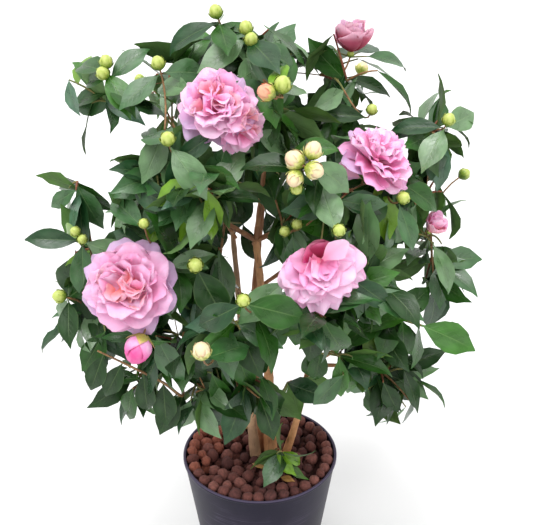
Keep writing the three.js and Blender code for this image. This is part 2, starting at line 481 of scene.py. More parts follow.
@dataclass
class Batch:
    """Placed copies of templates, to be joined into one piece."""

    name: str
    materials: list[bpy.types.Material]
    mapped: bool = False
    copies: list[tuple[Template, np.ndarray, int]] = field(default_factory=list)

    def add(self, template: Template, place: Matrix, first_slot: int = 0) -> None:
        """Adds a copy, whose own slots count from first_slot."""
        self.copies.append((template, np.array(place, np.float32), first_slot))

    def build(self) -> bpy.types.Object:
        """Joins the copies.

        Returns:
            The piece, shaded smooth but for the margins of its blades. If it is mapped, it
            carries the pattern map, and the bake map, which has a cell for each material.
        """
        points, corners, sides, slots, maps = [], [], [], [], []
        count = 0
        for template, place, first in self.copies:
            points.append(template.points @ place[:3, :3].T + place[:3, 3])
            corners.append(template.corners + count)
            sides.append(template.sides)
            slots.append(template.slots + first)
            maps.append(template.maps)
            count += len(template.points)
        points, corners = np.concatenate(points), np.concatenate(corners)
        sides, slots, maps = np.concatenate(sides), np.concatenate(slots), np.concatenate(maps)
        mesh = bpy.data.meshes.new(self.name)
        mesh.vertices.add(len(points))
        mesh.vertices.foreach_set("co", points.astype(np.float32).ravel())
        mesh.loops.add(len(corners))
        mesh.loops.foreach_set("vertex_index", corners)
        mesh.polygons.add(len(sides))
        mesh.polygons.foreach_set("loop_start", np.concatenate([[0], np.cumsum(sides)[:-1]]))
        mesh.polygons.foreach_set("material_index", slots)
        mesh.polygons.foreach_set("use_smooth", np.ones(len(sides), bool))
        for material in self.materials:
            mesh.materials.append(material)
        mesh.update(calc_edges=True)
        if self.mapped:
            self._lay_maps(mesh, maps, np.repeat(slots, sides))
        mesh.validate()
        mesh.set_sharp_from_angle(angle=math.radians(75))
        return linked(self.name, mesh)

    def _lay_maps(self, mesh: bpy.types.Mesh, maps: np.ndarray, slots: np.ndarray) -> None:
        """Adds the pattern map and the bake map.

        Args:
            mesh: the joined mesh.
            maps: the pattern map's places, by corner.
            slots: the material's number, by corner.
        """
        columns = math.ceil(math.sqrt(len(self.materials)))
        cell = np.stack([slots % columns, slots // columns], 1)
        for name, places in (
            (BAKE_MAP, (cell + 0.02 + 0.96 * np.clip(maps, 0, 1)) / columns),
            (PATTERN_MAP, maps),
        ):
            layer = mesh.uv_layers.new(name=name)
            layer.uv.foreach_set("vector", places.astype(np.float32).ravel())


def linked(name: str, mesh: bpy.types.Mesh) -> bpy.types.Object:
    """A new object of the scene that shows the mesh.

    Args:
        name: the object's name.
        mesh: its mesh.

    Returns:
        The object.
    """
    made = bpy.data.objects.new(name, mesh)
    bpy.context.scene.collection.objects.link(made)
    return made


def from_bmesh(name: str, mesh: bmesh.types.BMesh) -> bpy.types.Object:
    """A new smooth object of the scene from a bmesh, which is freed.

    Args:
        name: the object's name.
        mesh: the bmesh.

    Returns:
        The object.
    """
    for face in mesh.faces:
        face.smooth = True
    data = bpy.data.meshes.new(name)
    mesh.to_mesh(data)
    mesh.free()
    return linked(name, data)


def declare(piece: bpy.types.Object, nodes: list[str] | None = None) -> None:
    """Tells the frame what a piece rides on and the CAD nodes that it stands for.

    Args:
        piece: the finished piece.
        nodes: the CAD nodes that it replaces.
    """
    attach(piece, BODY)
    if nodes:
        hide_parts(*nodes)
    LOG.info("%s: %d faces, for %d nodes", piece.name, len(piece.data.polygons), len(nodes or []))


def closed_sheet(
    across: int,
    along: int,
    shape: Callable[[float, float], tuple[Vector, tuple[float, float]]],
    thickness: float,
    slots: tuple[int, int] = (0, 0),
) -> bmesh.types.BMesh:
    """A thin closed blade: a grid, shaped, with an underside that meets it at the margin.

    Args:
        across: faces across.
        along: faces along.
        shape: from (-1 to 1 across, 0 to 1 along) to a point and its pattern-map place.
        thickness: how far the underside lies below.
        slots: the material slots of the two sides.

    Returns:
        The blade, with its pattern map.
    """
    blade = bmesh.new()
    layer = blade.loops.layers.uv.new(PATTERN_MAP)
    bmesh.ops.create_grid(blade, x_segments=across, y_segments=along, size=1.0)
    spots = {}
    for vertex in blade.verts:
        spots[vertex] = shape(vertex.co.x, 0.5 + 0.5 * vertex.co.y)
    for face in blade.faces:
        face.material_index = slots[0]
        for loop in face.loops:
            loop[layer].uv = spots[loop.vert][1]
    for vertex, (point, _) in spots.items():
        vertex.co = point
    blade.normal_update()
    margin = {vertex for vertex in blade.verts if vertex.is_boundary}
    made = bmesh.ops.duplicate(blade, geom=blade.faces[:] + blade.edges[:] + blade.verts[:])
    twins = {made["vert_map"][v]: v for v in spots if made["vert_map"].get(v)}
    lower = [part for part in made["geom"] if isinstance(part, bmesh.types.BMFace)]
    for twin, vertex in twins.items():
        if vertex not in margin and twin not in spots:
            twin.co = vertex.co - vertex.normal * thickness
    for face in lower:
        face.material_index = slots[1]
    bmesh.ops.reverse_faces(blade, faces=lower)
    bmesh.ops.remove_doubles(blade, verts=blade.verts[:], dist=1e-7)
    return blade


def aimed(at: Vector, along: Vector, face: Vector, size: float) -> Matrix:
    """A place whose Y runs along, whose Z leans to face, scaled by size.

    Args:
        at: its origin.
        along: the way that its Y points.
        face: the way that its Z leans.
        size: its scale.

    Returns:
        The place.
    """
    forward = along.normalized()
    side = forward.cross(face)
    side = side.normalized() if side.length > 1e-6 else forward.orthogonal().normalized()
    normal = side.cross(forward)
    turn = Matrix((side, forward, normal)).transposed().to_4x4()
    return Matrix.Translation(at) @ turn @ Matrix.Scale(size, 4)


def at_mm(x: float, y: float, z: float) -> Vector:
    """A place stated in millimetres."""
    return Vector((x, y, z)) * MM


def bezier(start: Vector, middle: Vector, end: Vector, steps: int) -> list[Vector]:
    """Points along a quadratic curve from start to end.

    Args:
        start: the first point.
        middle: the point that pulls the curve.
        end: the last point.
        steps: how many stretches it has.

    Returns:
        The points, with both ends.
    """
    found = []
    for i in range(steps + 1):
        share = i / steps
        found.append(start.lerp(middle, share).lerp(middle.lerp(end, share), share))
    return found


def through(points: list[Vector], steps: int) -> list[Vector]:
    """Points along a smooth curve through the given ones.

    Args:
        points: at least two points.
        steps: new points for each stretch between two of them.

    Returns:
        The curve's points, with both ends.
    """
    ends = [2 * points[0] - points[1], *points, 2 * points[-1] - points[-2]]
    found = []
    for a, b, c, d in zip(ends, ends[1:], ends[2:], ends[3:]):
        for i in range(steps):
            t = i / steps
            bend = (2 * a - 5 * b + 4 * c - d) * t + (3 * b - a - 3 * c + d) * t * t
            found.append(b + (c - a + bend) * (t / 2))
    return [*found, points[-1]]


def bent_line(angle_at: Callable[[float], float], steps: int = 24) -> list[tuple[Vector, float]]:
    """A line of length 1 from the origin along +Y, that bends down towards -Z.

    Args:
        angle_at: from a share of its length to the angle that it has bent down there.
        steps: how many short lengths it is added up from.

    Returns:
        Its points, each with its angle.
    """
    found = [(Vector(), angle_at(0.0))]
    for i in range(steps):
        angle = angle_at((i + 0.5) / steps)
        point = found[-1][0] + Vector((0, math.cos(angle), -math.sin(angle))) / steps
        found.append((point, angle_at((i + 1) / steps)))
    return found


def spot_on(line: list[tuple[Vector, float]], share: float) -> tuple[Vector, float]:
    """The point and the angle at a share of a bent line.

    Args:
        line: the line, as bent_line gives it.
        share: 0 at its start to 1 at its end.

    Returns:
        The point and the angle.
    """
    place = share * (len(line) - 1)
    i = max(0, min(int(place), len(line) - 2))
    (near, near_angle), (far, far_angle) = line[i], line[i + 1]
    return near.lerp(far, place - i), near_angle + (far_angle - near_angle) * (place - i)


def tube(path: list[Vector], radii: list[float], sides: int) -> bmesh.types.BMesh:
    """A closed round limb along a path.

    Args:
        path: its centre line.
        radii: its radius at each point of the path.
        sides: how many sides it has.

    Returns:
        The limb, with outward faces.
    """
    tangents = [
        (path[min(i + 1, len(path) - 1)] - path[max(i - 1, 0)]).normalized()
        for i in range(len(path))
    ]
    across = [tangents[0].orthogonal().normalized()]
    for before, after in zip(tangents, tangents[1:]):
        turned = before.rotation_difference(after) @ across[-1]
        across.append((turned - after * turned.dot(after)).normalized())
    limb = bmesh.new()
    bmesh.ops.create_grid(limb, x_segments=sides, y_segments=len(path) - 1, size=1.0)
    for vertex in limb.verts:
        angle = math.pi * (vertex.co.x + 1)
        ring = round((vertex.co.y + 1) / 2 * (len(path) - 1))
        other = tangents[ring].cross(across[ring])
        out = across[ring] * math.cos(angle) + other * math.sin(angle)
        vertex.co = path[ring] + out * radii[ring]
    bmesh.ops.remove_doubles(limb, verts=limb.verts[:], dist=1e-6)
    bmesh.ops.holes_fill(limb, edges=limb.edges[:], sides=sides)
    bmesh.ops.recalc_face_normals(limb, faces=limb.faces[:])
    return limb


# ----------------------------------------------------------------------- limbs


@dataclass
class Limb:
    """A stem or bough of the frame, as a centre line with its radii."""

    node: str
    path: list[Vector]
    radii: list[float]

    @classmethod
    def of_node(cls, node: str, stretches: int = 10) -> "Limb":
        """Reads the centre line off a CAD node, from its lower end to its upper or outer one.

        Args:
            node: the CAD node.
            stretches: how many lengths it is averaged over.

        Returns:
            The limb.
        """
        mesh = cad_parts[node].data
        mesh.calc_loop_triangles()
        corners = np.array([[mesh.vertices[i].co for i in t.vertices] for t in mesh.loop_triangles])
        shares = [(i, j, 12 - i - j) for i in range(13) for j in range(13 - i)]
        samples = np.einsum("sk,tkc->tsc", np.array(shares) / 12, corners).reshape(-1, 3)
        sides = np.cross(corners[:, 1] - corners[:, 0], corners[:, 2] - corners[:, 0])
        weights = np.repeat(np.linalg.norm(sides, axis=1), len(shares))
        middle = np.average(samples, 0, weights)
        axis = np.linalg.svd(np.cov((samples - middle).T, aweights=weights))[0][:, 0]
        along = (samples - middle) @ axis
        edges = np.linspace(along.min(), along.max(), stretches + 1)
        path, radii = [], []
        for low, high in zip(edges, edges[1:]):
            inside = (along >= low) & (along <= high)
            centre = np.average(samples[inside], 0, weights[inside])
            away = samples[inside] - centre
            away -= np.outer(away @ axis, axis)
            path.append(Vector(centre))
            radii.append(float(np.average(np.linalg.norm(away, axis=1), 0, weights[inside])))
        path = [path[0] * 1.5 - path[1] * 0.5, *path, path[-1] * 1.5 - path[-2] * 0.5]
        radii = [radii[0], *radii, radii[-1]]
        near_axis = [Vector((end.x, end.y)).length + 3 * end.z for end in (path[0], path[-1])]
        if node.startswith("bough"):
            near_axis = [Vector((end.x, end.y)).length for end in (path[0], path[-1])]
        if near_axis[0] > near_axis[1]:
            path.reverse()
            radii.reverse()
        return cls(node, path, radii)

    def build(self, rings_apart: float, sides: int) -> bmesh.types.BMesh:
        """The limb with its bark's ridges and the swellings where leaves once grew.

        Args:
            rings_apart: the distance between rings.
            sides: the number of sides.

        Returns:
            The limb's mesh.
        """
        is_bough = self.node.startswith("bough")
        start = self.path[0] + (self.path[0] - self.path[1]).normalized() * 5 * MM
        path = [start, *self.path[1:]] if is_bough else self.path
        length = sum((b - a).length for a, b in zip(path, path[1:]))
        steps = max(2, round(length / (len(path) - 1) / rings_apart))
        line = through(path, steps)
        knots = np.linspace(0, 1, len(self.radii))
        shares = np.linspace(0, 1, len(line))
        radii = np.interp(shares, knots, self.radii) * 1.04
        if is_bough:
            radii *= 1 + 0.35 * np.exp(-shares * length / (6 * MM))
        scars = (shares * length / (27 * MM)) % 1
        radii *= 1 + 0.07 * np.exp(-((scars - 0.5) / 0.09) ** 2)
        limb = tube(line, list(radii), sides)
        limb.normal_update()
        for vertex in limb.verts:
            drawn = Vector((vertex.co.x, vertex.co.y, vertex.co.z * 0.2))
            ridge = noise.noise(drawn * 260) * 0.35 + noise.noise(vertex.co * 60) * 0.5
            vertex.co += vertex.normal * ridge * MM
        return limb


@dataclass
class Bark:
    """The stems and boughs, each a mesh with its own bark."""

    sides: int = 14
    rings_apart: float = 4 * MM
    warm: BarkFinish = BarkFinish(
        "bark_warm", srgb(184, 128, 84), srgb(206, 152, 106), srgb(96, 62, 38)
    )
    grey: BarkFinish = BarkFinish(
        "bark_grey", srgb(156, 122, 94), srgb(188, 150, 116), srgb(84, 60, 44)
    )
    red: BarkFinish = BarkFinish(
        "bark_red", srgb(146, 98, 66), srgb(172, 122, 84), srgb(82, 54, 36)
    )

    def build(self, limbs: list[Limb]) -> None:
        """Builds and declares a piece for each limb.

        Args:
            limbs: the stems and boughs.
        """
        finishes = {"stem_main": self.warm, "stem_left": self.grey, "stem_right": self.warm}
        made = {f.name: f.material() for f in (self.warm, self.grey, self.red)}
        for limb in limbs:
            finish = finishes.get(limb.node, self.red)
            piece = from_bmesh(f"bark_{limb.node}", limb.build(self.rings_apart, self.sides))
            piece.data.materials.append(made[finish.name])
            declare(piece, [limb.node])


# ---------------------------------------------------------------------- leaves


@dataclass(frozen=True)
class LeafShape:
    """A form of leaf, of length 1, whose stalk starts at the origin and whose tip is along +Y."""

    half_width: float
    fold: float
    bow: float
    curl: float
    ripple: float
    twist: float = 0.0
    stalk: float = 0.07
    thickness: float = 0.006

    def outline(self, along: float) -> float:
        """The blade's width at a share of its length, as a share of its greatest width.

        Args:
            along: the share, from the foot of the stalk.

        Returns:
            The width.
        """
        blade = max(0.0, along - self.stalk) / (1 - self.stalk)
        oval = math.sin(math.pi * blade ** 0.92) ** 0.78
        drawn_out = 1 - 0.52 * min(1.0, max(0.0, (blade - 0.64) / 0.26))
        return max(0.07 if along < 0.5 else 0.0, oval * drawn_out)

    def spine(self) -> list[tuple[Vector, float]]:
        """The bent line along the leaf's middle."""
        return bent_line(lambda s: self.bow * s + self.curl * max(0.0, s - 0.68) / 0.32)

    def template(self, columns: int, rows: int) -> Template:
        """The leaf, with its upper side in slot 0 and its underside in slot 1.

        Args:
            columns: faces across.
            rows: faces along.

        Returns:
            The leaf.
        """
        line = self.spine()

        def spot(across: float, share: float) -> tuple[Vector, tuple[float, float]]:
            """The point and the pattern-map place of a spot of the blade.

            Args:
                across: -1 to 1.
                share: 0 to 1 from the stalk.

            Returns:
                The point and its place on the map.
            """
            along = 0.5 - 0.5 * math.cos(math.pi * share)
            half = self.outline(along)
            point, angle = spot_on(line, along)
            side = across * half * self.half_width
            beat = math.sin(along * 15 + (1.2 if across > 0 else 0))
            rise = abs(side) * self.fold + beat * self.ripple * across ** 2 * half
            turn = self.twist * along
            normal = Vector((0, math.sin(angle), math.cos(angle)))
            sideways = Vector((math.cos(turn), 0, 0)) + normal * math.sin(turn)
            return point + sideways * side + normal * rise, (0.5 + 0.5 * across * half, along)

        return Template.taken_from(closed_sheet(columns, rows, spot, self.thickness, (0, 1)))


LEAF_SHAPES = (
    LeafShape(0.215, 0.16, 0.35, 0.45, 0.012),
    LeafShape(0.235, 0.08, 0.15, 0.30, 0.016),
    LeafShape(0.195, 0.28, 0.55, 0.60, 0.010, twist=0.25),
    LeafShape(0.225, 0.14, 0.75, 0.35, 0.014, twist=-0.20),
    LeafShape(0.180, 0.36, 0.25, 0.75, 0.012, twist=0.15),
    LeafShape(0.255, 0.06, 0.50, 0.20, 0.020, twist=-0.35),
)

# The cool, pale and grey-green sheen tints are lighter, greyer copies of the greens: painted sheen,
# the sky's reflection on upturned leaves.
LEAF_TINTS = {
    "deep": (srgb(22, 54, 14), 0.3),
    "blue": (srgb(25, 62, 30), 0.4),
    "mid": (srgb(36, 78, 21), 0.3),
    "cool": (srgb(47, 89, 43), 0.6),
    "fresh": (srgb(50, 100, 25), 0.4),
    "pale": (srgb(86, 120, 76), 0.7),
    "young": (srgb(102, 144, 30), 0.4),
    "hoary": (srgb(62, 100, 74), 0.7),
    "dry": (srgb(160, 118, 66), 0.3),
}
TINT_NAMES = tuple(LEAF_TINTS)

FOREMOST = -228 * MM
OUTMOST = 12 * MM
STALK_SPACE = 12 * MM
BLOOM_LEAVES = 6
BUD_LEAVES = 4
BUD_RING = 2 * MM
PASSAGE = 0.32
BLOOM_RING = 0.85
WHORL_LENGTHS = (52, 68)
CURTAIN_LENGTHS = (46, 62)
SPRAY_LENGTHS = (50, 64)
GREEN_TWIG = 1
CURTAINS = (
    ((-60, 16, 500), (35, 64, 575), 16, ("deep", "deep", "blue")),
    ((-60, -110, 370), (80, -70, 420), 12, ("deep", "mid", "mid")),
)
# The tints' shares in the crown's shaded skirt and in its sunlit top: darker greens below are painted
# shade, paler ones above are painted light.
SHADED_SHARES = (34, 22, 24, 9, 7, 3, 4, 0, 0)
SUNLIT_SHARES = (10, 11, 16, 30, 8, 24, 2, 3, 0)
SHADED_BELOW = 0.36
SUNLIT_ABOVE = 0.64


def tint_shares(height: float) -> list[float]:
    """How often each tint comes at a height: paler greens towards the crown's top, as painted light
    from above, and darker ones in its skirt, as painted shade.
    """
    share = max(0.0, min(1.0, (height - SHADED_BELOW) / (SUNLIT_ABOVE - SHADED_BELOW)))
    return [low + (high - low) * share for low, high in zip(SHADED_SHARES, SUNLIT_SHARES)]


def leaf_materials() -> list[bpy.types.Material]:
    """Both sides of each tint, upper side first.

    Returns:
        The materials, in the order of the tints.
    """
    made = []
    for name, (colour, gloss) in LEAF_TINTS.items():
        rib = tuple(0.66 * c + 0.34 * p for c, p in zip(colour, srgb(150, 182, 112)))
        under = tuple(0.62 * c + 0.38 * p for c, p in zip(colour, srgb(104, 136, 62)))
        made.append(LeafFinish(f"leaf_{name}", colour, rib, gloss=gloss).material())
        made.append(LeafFinish(f"underleaf_{name}", under, rib, 0.55, 0.2, 0.3).material())
    return made


# ----------------------------------------------------------------------- crown


@dataclass(frozen=True)
class Clearing:
    """A round passage that stays free of leaves."""

    start: Vector
    end: Vector
    radius: float

    @classmethod
    def seen(
        cls,
        eye: Vector,
        target: Vector,
        radius: float,
        before: float,
        behind: float = 0.0,
    ) -> "Clearing":
        """A passage along the eye's line to a target.

        Args:
            eye: where the line comes from.
            target: the place that it goes to.
            radius: the passage's radius.
            before: how far it reaches towards the eye.
            behind: how far it goes on past the target.

        Returns:
            The passage.
        """
        toward = (eye - target).normalized()
        return cls(target + toward * before, target - toward * behind, radius)

    def holds(self, point: Vector) -> bool:
        """Whether the point is inside it.

        Args:
            point: the point.

        Returns:
            Whether it is inside.
        """
        line = self.end - self.start
        share = max(0.0, min(1.0, (point - self.start).dot(line) / line.length_squared))
        return (self.start + line * share - point).length < self.radius


@dataclass(frozen=True)
class Habit:
    """How the shoots of a foliage mass grow, and how far its leaves may reach out of it."""

    droop: float = 0.22
    density: float = 1.0
    leaf_length: float = 66 * MM
    spare: float = 0.0


HABITS = {
    "hanging_left": Habit(droop=0.75, density=0.55),
    "hanging_right": Habit(droop=0.6, density=0.85),
    "left_low": Habit(droop=0.4, density=0.8),
    "front_left_low": Habit(droop=0.5),
    "front_low": Habit(droop=0.8, density=1.3, spare=24 * MM),
    "front_near": Habit(droop=0.6, density=1.1, spare=14 * MM),
    "foot_front": Habit(droop=0.5, density=1.5, spare=16 * MM),
    "foot_left": Habit(droop=0.5, density=1.2, spare=8 * MM),
    "foot_shoot": Habit(droop=0.35, density=0.7, leaf_length=52 * MM),
    "right_low": Habit(droop=0.35),
    "front_right_low": Habit(droop=0.5),
    "heart_left": Habit(droop=0.4, density=1.8, spare=20 * MM),
    "heart_right": Habit(droop=0.4, density=1.8, spare=20 * MM),
    "front_left_upper": Habit(droop=0.45, density=1.2, spare=8 * MM),
    "rear_upper": Habit(droop=0.5, density=1.1, spare=16 * MM),
}


@dataclass
class Mass:
    """A foliage mass of the frame, which is to be grown."""

    name: str
    habit: Habit
    centre: Vector
    surface: BVHTree
    corners: list[Vector]
    area: float

    @classmethod
    def of_node(cls, name: str) -> "Mass":
        """Reads a mass off its CAD node.

        Args:
            name: the node's name.

        Returns:
            The mass.
        """
        copy = bmesh.new()
        copy.from_mesh(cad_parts[name].data)
        bmesh.ops.remove_doubles(copy, verts=copy.verts[:], dist=1e-5)
        corners = [vertex.co.copy() for vertex in copy.verts]
        area = sum(face.calc_area() for face in copy.faces)
        surface = BVHTree.FromBMesh(copy)
        copy.free()
        low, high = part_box(name)
        return cls(name, HABITS.get(name, Habit()), (low + high) / 2, surface, corners, area)

    def beyond(self, point: Vector) -> float:
        """How far outside the mass a point is, or below 0 inside it."""
        nearest, normal, _, distance = self.surface.find_nearest(point)
        return distance if (point - nearest).dot(normal) > 0 else -distance


@dataclass
class Twig:
    """A twig's centre line, and its radius at both ends."""

    path: list[Vector]
    start_radius: float
    end_radius: float
    slot: int = 0


@dataclass(frozen=True)
class FallenLeaf:
    """A dry leaf that lies by itself, from its stalk's foot to its tip, in millimetres."""

    foot: tuple[int, int, int]
    tip: tuple[int, int, int]
    shape: int = 0

    def place(self) -> Matrix:
        """The leaf's place, at which its bent spine ends at the tip.

        Returns:
            The place.
        """
        foot, tip = at_mm(*self.foot), at_mm(*self.tip)
        chord = LEAF_SHAPES[self.shape].spine()[-1][0]
        turn = Matrix.Rotation(-math.atan2(chord.z, chord.y), 4, "X")
        size = (tip - foot).length / chord.length
        return aimed(foot, tip - foot, LYING_FACE, size) @ turn


@dataclass(frozen=True)
class Shoot:
    """A leafy shoot, while its leaves are placed."""

    mass: Mass
    forward: Vector
    tint: int
    reach: float


# Places on a leaf of length 1 that are kept out of clearings.
LEAF_SPOTS = ((0, 0.3, 0), (0, 0.65, 0), (0, 1.0, 0), (0.2, 0.5, 0), (-0.2, 0.5, 0))


@dataclass
class Crown:
    """The twigs and leaves that grow from the boughs into the foliage masses."""

    limbs: list[Limb]
    masses: list[Mass]
    clearings: list[Clearing]
    shoot_area: float = 0.0041
    pull_in: float = 27 * MM
    internode: float = 13 * MM
    spreads: tuple[int, ...] = (34, 52, 64, 72, 80)
    reaches: tuple[int, ...] = (-4, -4, 3, 14)
    tiers: tuple[float, ...] = (0.42, 0.53, 0.63)
    twigs: list[Twig] = field(default_factory=list)
    leaves: dict[str, list[tuple[int, Matrix, int]]] = field(default_factory=dict)

    def grow(self) -> None:
        """Grows a main twig into every mass, and shoots with leaves from it."""
        axis = Vector((0, 0, 0.48))
        held = [(point, limb.radii[-1]) for limb in self.limbs for point in limb.path[5:]]
        waiting = list(self.masses)
        while waiting:
            pairs = [
                ((mass.centre - point).length, rank, number)
                for rank, mass in enumerate(waiting)
                for number, (point, _) in enumerate(held)
            ]
            _, rank, number = min(pairs)
            mass = waiting.pop(rank)
            start, radius = held[number]
            outward = (mass.centre - axis).normalized()
            hub = mass.centre - outward * 10 * MM
            middle = start.lerp(hub, 0.5) + UP * 0.08 * (hub - start).length
            path = bezier(start, middle, hub, 6)
            radius = min(radius * 0.8, 2.3 * MM)
            self.twigs.append(Twig(path, radius, radius * 0.75))
            held.append((hub, radius * 0.85))
            self._grow_mass(mass, path, outward)

    def _grow_mass(self, mass: Mass, main: list[Vector], outward: Vector) -> None:
        """Grows a mass's shoots.

        Args:
            mass: the mass.
            main: the centre line of the main twig that feeds it.
            outward: away from the crown's middle.
        """
        chance = random.Random(f"{SEED} {mass.name}")
        self.leaves[mass.name] = []
        corners = [c for c in mass.corners if (c - mass.centre).normalized().dot(outward) > -0.45]
        count = max(4, round(mass.area / self.shoot_area * mass.habit.density))
        leader = max(corners, key=lambda c: (c - mass.centre).dot(outward))
        targets = [leader]
        while len(targets) < count:
            tried = chance.sample(corners, min(24, len(corners)))
            targets.append(max(tried, key=lambda c: min((c - t).length for t in targets)))
        for number, target in enumerate(targets):
            self._grow_shoot(mass, main, target, random.Random(f"{SEED} {mass.name} {number}"))

    def _grow_shoot(
        self,
        mass: Mass,
        main: list[Vector],
        target: Vector,
        chance: random.Random,
    ) -> None:
        """Grows one shoot with its leaves.

        Args:
            mass: the mass that it is in.
            main: the centre line that it leaves.
            target: the place on the mass's surface that it makes for.
            chance: the seeded numbers.
        """
        start = main[chance.choice((-3, -2, -1, -1))]
        reach = target - start
        pull_in = self.pull_in * chance.uniform(0.7, 1.6)
        end = start + reach * max(0.25, 1 - pull_in / reach.length)
        sag = UP * reach.length * (0.10 - 0.35 * mass.habit.droop * chance.random())
        path = bezier(start, start.lerp(end, 0.5) + sag, end, 5)
        if any(c.holds(end) for c in self.clearings):
            return
        slot = chance.choice((0, 1, 1, 2))
        shoot = Shoot(
            mass,
            (path[-1] - path[-2]).normalized(),
            chance.choices(range(len(TINT_NAMES)), tint_shares(end.z))[0],
            chance.choice(self.reaches) * MM + mass.habit.spare,
        )
        turn = chance.uniform(0, 2 * math.pi)
        count = 5 if reach.length > 45 * MM else 4
        length = (end - start).length
        borne = []
        for i in range(count):
            back = i * self.internode * chance.uniform(0.8, 1.2)
            at = start.lerp(end, max(0.0, 1 - back / max(length, 1 * MM)))
            spread = math.radians(self.spreads[i] + chance.uniform(-8, 8))
            turn += GOLDEN_ANGLE
            if self._place_leaf(shoot, at, turn, spread, chance):
                borne.append(at)
        if borne:
            path = bezier(start, start.lerp(borne[0], 0.5) + sag, borne[0], 5)
            self.twigs.append(Twig(path, 1.5 * MM, 0.9 * MM, slot))

    def _place_leaf(
        self,
        shoot: Shoot,
        at: Vector,
        turn: float,
        spread: float,
        chance: random.Random,
    ) -> bool:
        """Places one leaf, unless it would stand in a clearing or too far outside the masses.

        Args:
            shoot: the shoot that bears it.
            at: where its stalk starts.
            turn: its place round the shoot.
            spread: its angle off the shoot.
            chance: the seeded numbers.

        Returns:
            Whether it was placed.
        """
        forward, habit = shoot.forward, shoot.mass.habit
        side = Quaternion(forward, turn) @ forward.orthogonal().normalized()
        along = forward * math.cos(spread) + side * math.sin(spread)
        along = (along - UP * habit.droop * chance.uniform(0.5, 1.5)).normalized()
        size = habit.leaf_length * chance.uniform(0.76, 1.14)
        face = forward * 0.75 + UP * 0.75 + FRONT * 0.1
        face += Vector([chance.gauss(0, 0.28) for _ in range(3)])
        shape = chance.randrange(len(LEAF_SHAPES))
        other = chance.choices(range(len(TINT_NAMES)), tint_shares(at.z))[0]
        tint = other if chance.random() < 0.25 else shoot.tint
        for _ in range(3):
            over = min(m.beyond(at + along * size) for m in self.masses)
            if over < shoot.reach:
                break
            along = (along - forward * 0.35 - UP * 0.12).normalized()
            size *= 0.94
        place = aimed(at, along, face, size)
        spots = [place @ Vector(spot) for spot in LEAF_SPOTS]
        beyond = over > shoot.reach + 8 * MM or min(spot.y for spot in spots) < FOREMOST
        if beyond or any(c.holds(spot) for spot in spots for c in self.clearings):
            return False
        self.leaves[shoot.mass.name].append((shape, place, tint))
        return True

    def add_whorls(self, heads: list[tuple[Vector, Vector, float, int]]) -> None:
        """Adds the leaves that stand round the stalk of each bloom and bud.

        Args:
            heads: each one's centre, the way that it faces, how far from its stalk the leaves
                start, and how many there are.
        """
        chance = random.Random(f"{SEED} whorls")
        for centre, facing, ring, count in heads:
            axis = facing.normalized()
            stalk = centre - axis * max(ring * 0.45, STALK_SPACE)
            first = chance.uniform(0, 2 * math.pi)
            for number in range(count):
                bearing = first + 2 * math.pi * number / count + chance.uniform(-0.3, 0.3)
                out = Quaternion(axis, bearing) @ axis.orthogonal().normalized()
                foot = stalk + out * ring
                along = out + axis * chance.uniform(-0.15, 0.2) - UP * chance.uniform(0.05, 0.35)
                face = axis * 0.6 + UP * 0.5 + FRONT * 0.8
                face += Vector([chance.gauss(0, 0.15) for _ in range(3)])
                place = aimed(foot, along, face, chance.uniform(*WHORL_LENGTHS) * MM)
                if self._add_leaf(place, chance) and ring > BUD_RING:
                    path = [stalk, stalk.lerp(foot, 0.5), foot]
                    self.twigs.append(Twig(path, 1.1 * MM, 0.8 * MM, GREEN_TWIG))

    def hang_curtain(self, low: Vector, high: Vector, count: int, tints: tuple[str, ...]) -> None:
        """Hangs shaded leaves from the twigs nearest to places drawn from a box.

        Args:
            low: the box's lower corner.
            high: its upper corner.
            count: how many leaves.
            tints: the tints to draw from.
        """
        chance = random.Random(f"{SEED} curtain {count}")
        nodes = [point for twig in self.twigs for point in twig.path]
        for _ in range(count):
            foot = Vector([chance.uniform(*ends) for ends in zip(low, high)])
            start = min(nodes, key=lambda point: (point - foot).length)
            along = Vector((chance.uniform(-0.4, 0.4), chance.uniform(-0.1, 0.1), -1))
            place = aimed(foot, along, FRONT + UP * 0.15, chance.uniform(*CURTAIN_LENGTHS) * MM)
            if self._add_leaf(place, chance, chance.choice(tints)):
                path = bezier(start, start.lerp(foot, 0.5), foot, 4)
                self.twigs.append(Twig(path, 1.2 * MM, 0.9 * MM, GREEN_TWIG))

    def _add_leaf(self, place: Matrix, chance: random.Random, tint: str = "") -> bool:
        """Adds a finely made leaf, unless an untinted one is out of the crown or in a clearing.

        Args:
            place: its place.
            chance: the source of random draws.
            tint: its tint, or none for a drawn one.

        Returns:
            Whether it was added.
        """
        shape = len(LEAF_SHAPES) + chance.randrange(len(LEAF_SHAPES))
        drawn = chance.choices(TINT_NAMES, tint_shares(place.translation.z))[0]
        spots = [place @ Vector(spot) for spot in LEAF_SPOTS]
        mass = min(self.masses, key=lambda m: m.beyond(place.translation))
        out = min(m.beyond(place @ Vector((0, 1, 0))) for m in self.masses) > OUTMOST
        held = any(c.holds(spot) for spot in spots for c in self.clearings)
        fore = min(spot.y for spot in spots) < FOREMOST
        if fore or ((held or out) and not tint):
            return False
        self.leaves[mass.name].append((shape, place, TINT_NAMES.index(tint or drawn)))
        return True

    def add_branch(self, places: list[tuple[int, int, int]]) -> None:
        """Adds a thin branch, with hanging leaves, from the nearest of the limbs.

        Args:
            places: its places in millimetres, from its foot outwards.
        """
        points = [at_mm(*place) for place in places]
        held = [point for limb in self.limbs for point in limb.path]
        foot = min(held, key=lambda point: (point - points[0]).length)
        path = through([foot, *points], 5)
        self.twigs.append(Twig(path, 2.2 * MM, 1.0 * MM))
        chance = random.Random(f"{SEED} branch")
        for at in path[4::3]:
            along = Vector((chance.uniform(-0.6, 0.1), -0.2, -1))
            place = aimed(at, along, FRONT + UP * 0.2, chance.uniform(*SPRAY_LENGTHS) * MM)
            self._add_leaf(place, chance, "deep")

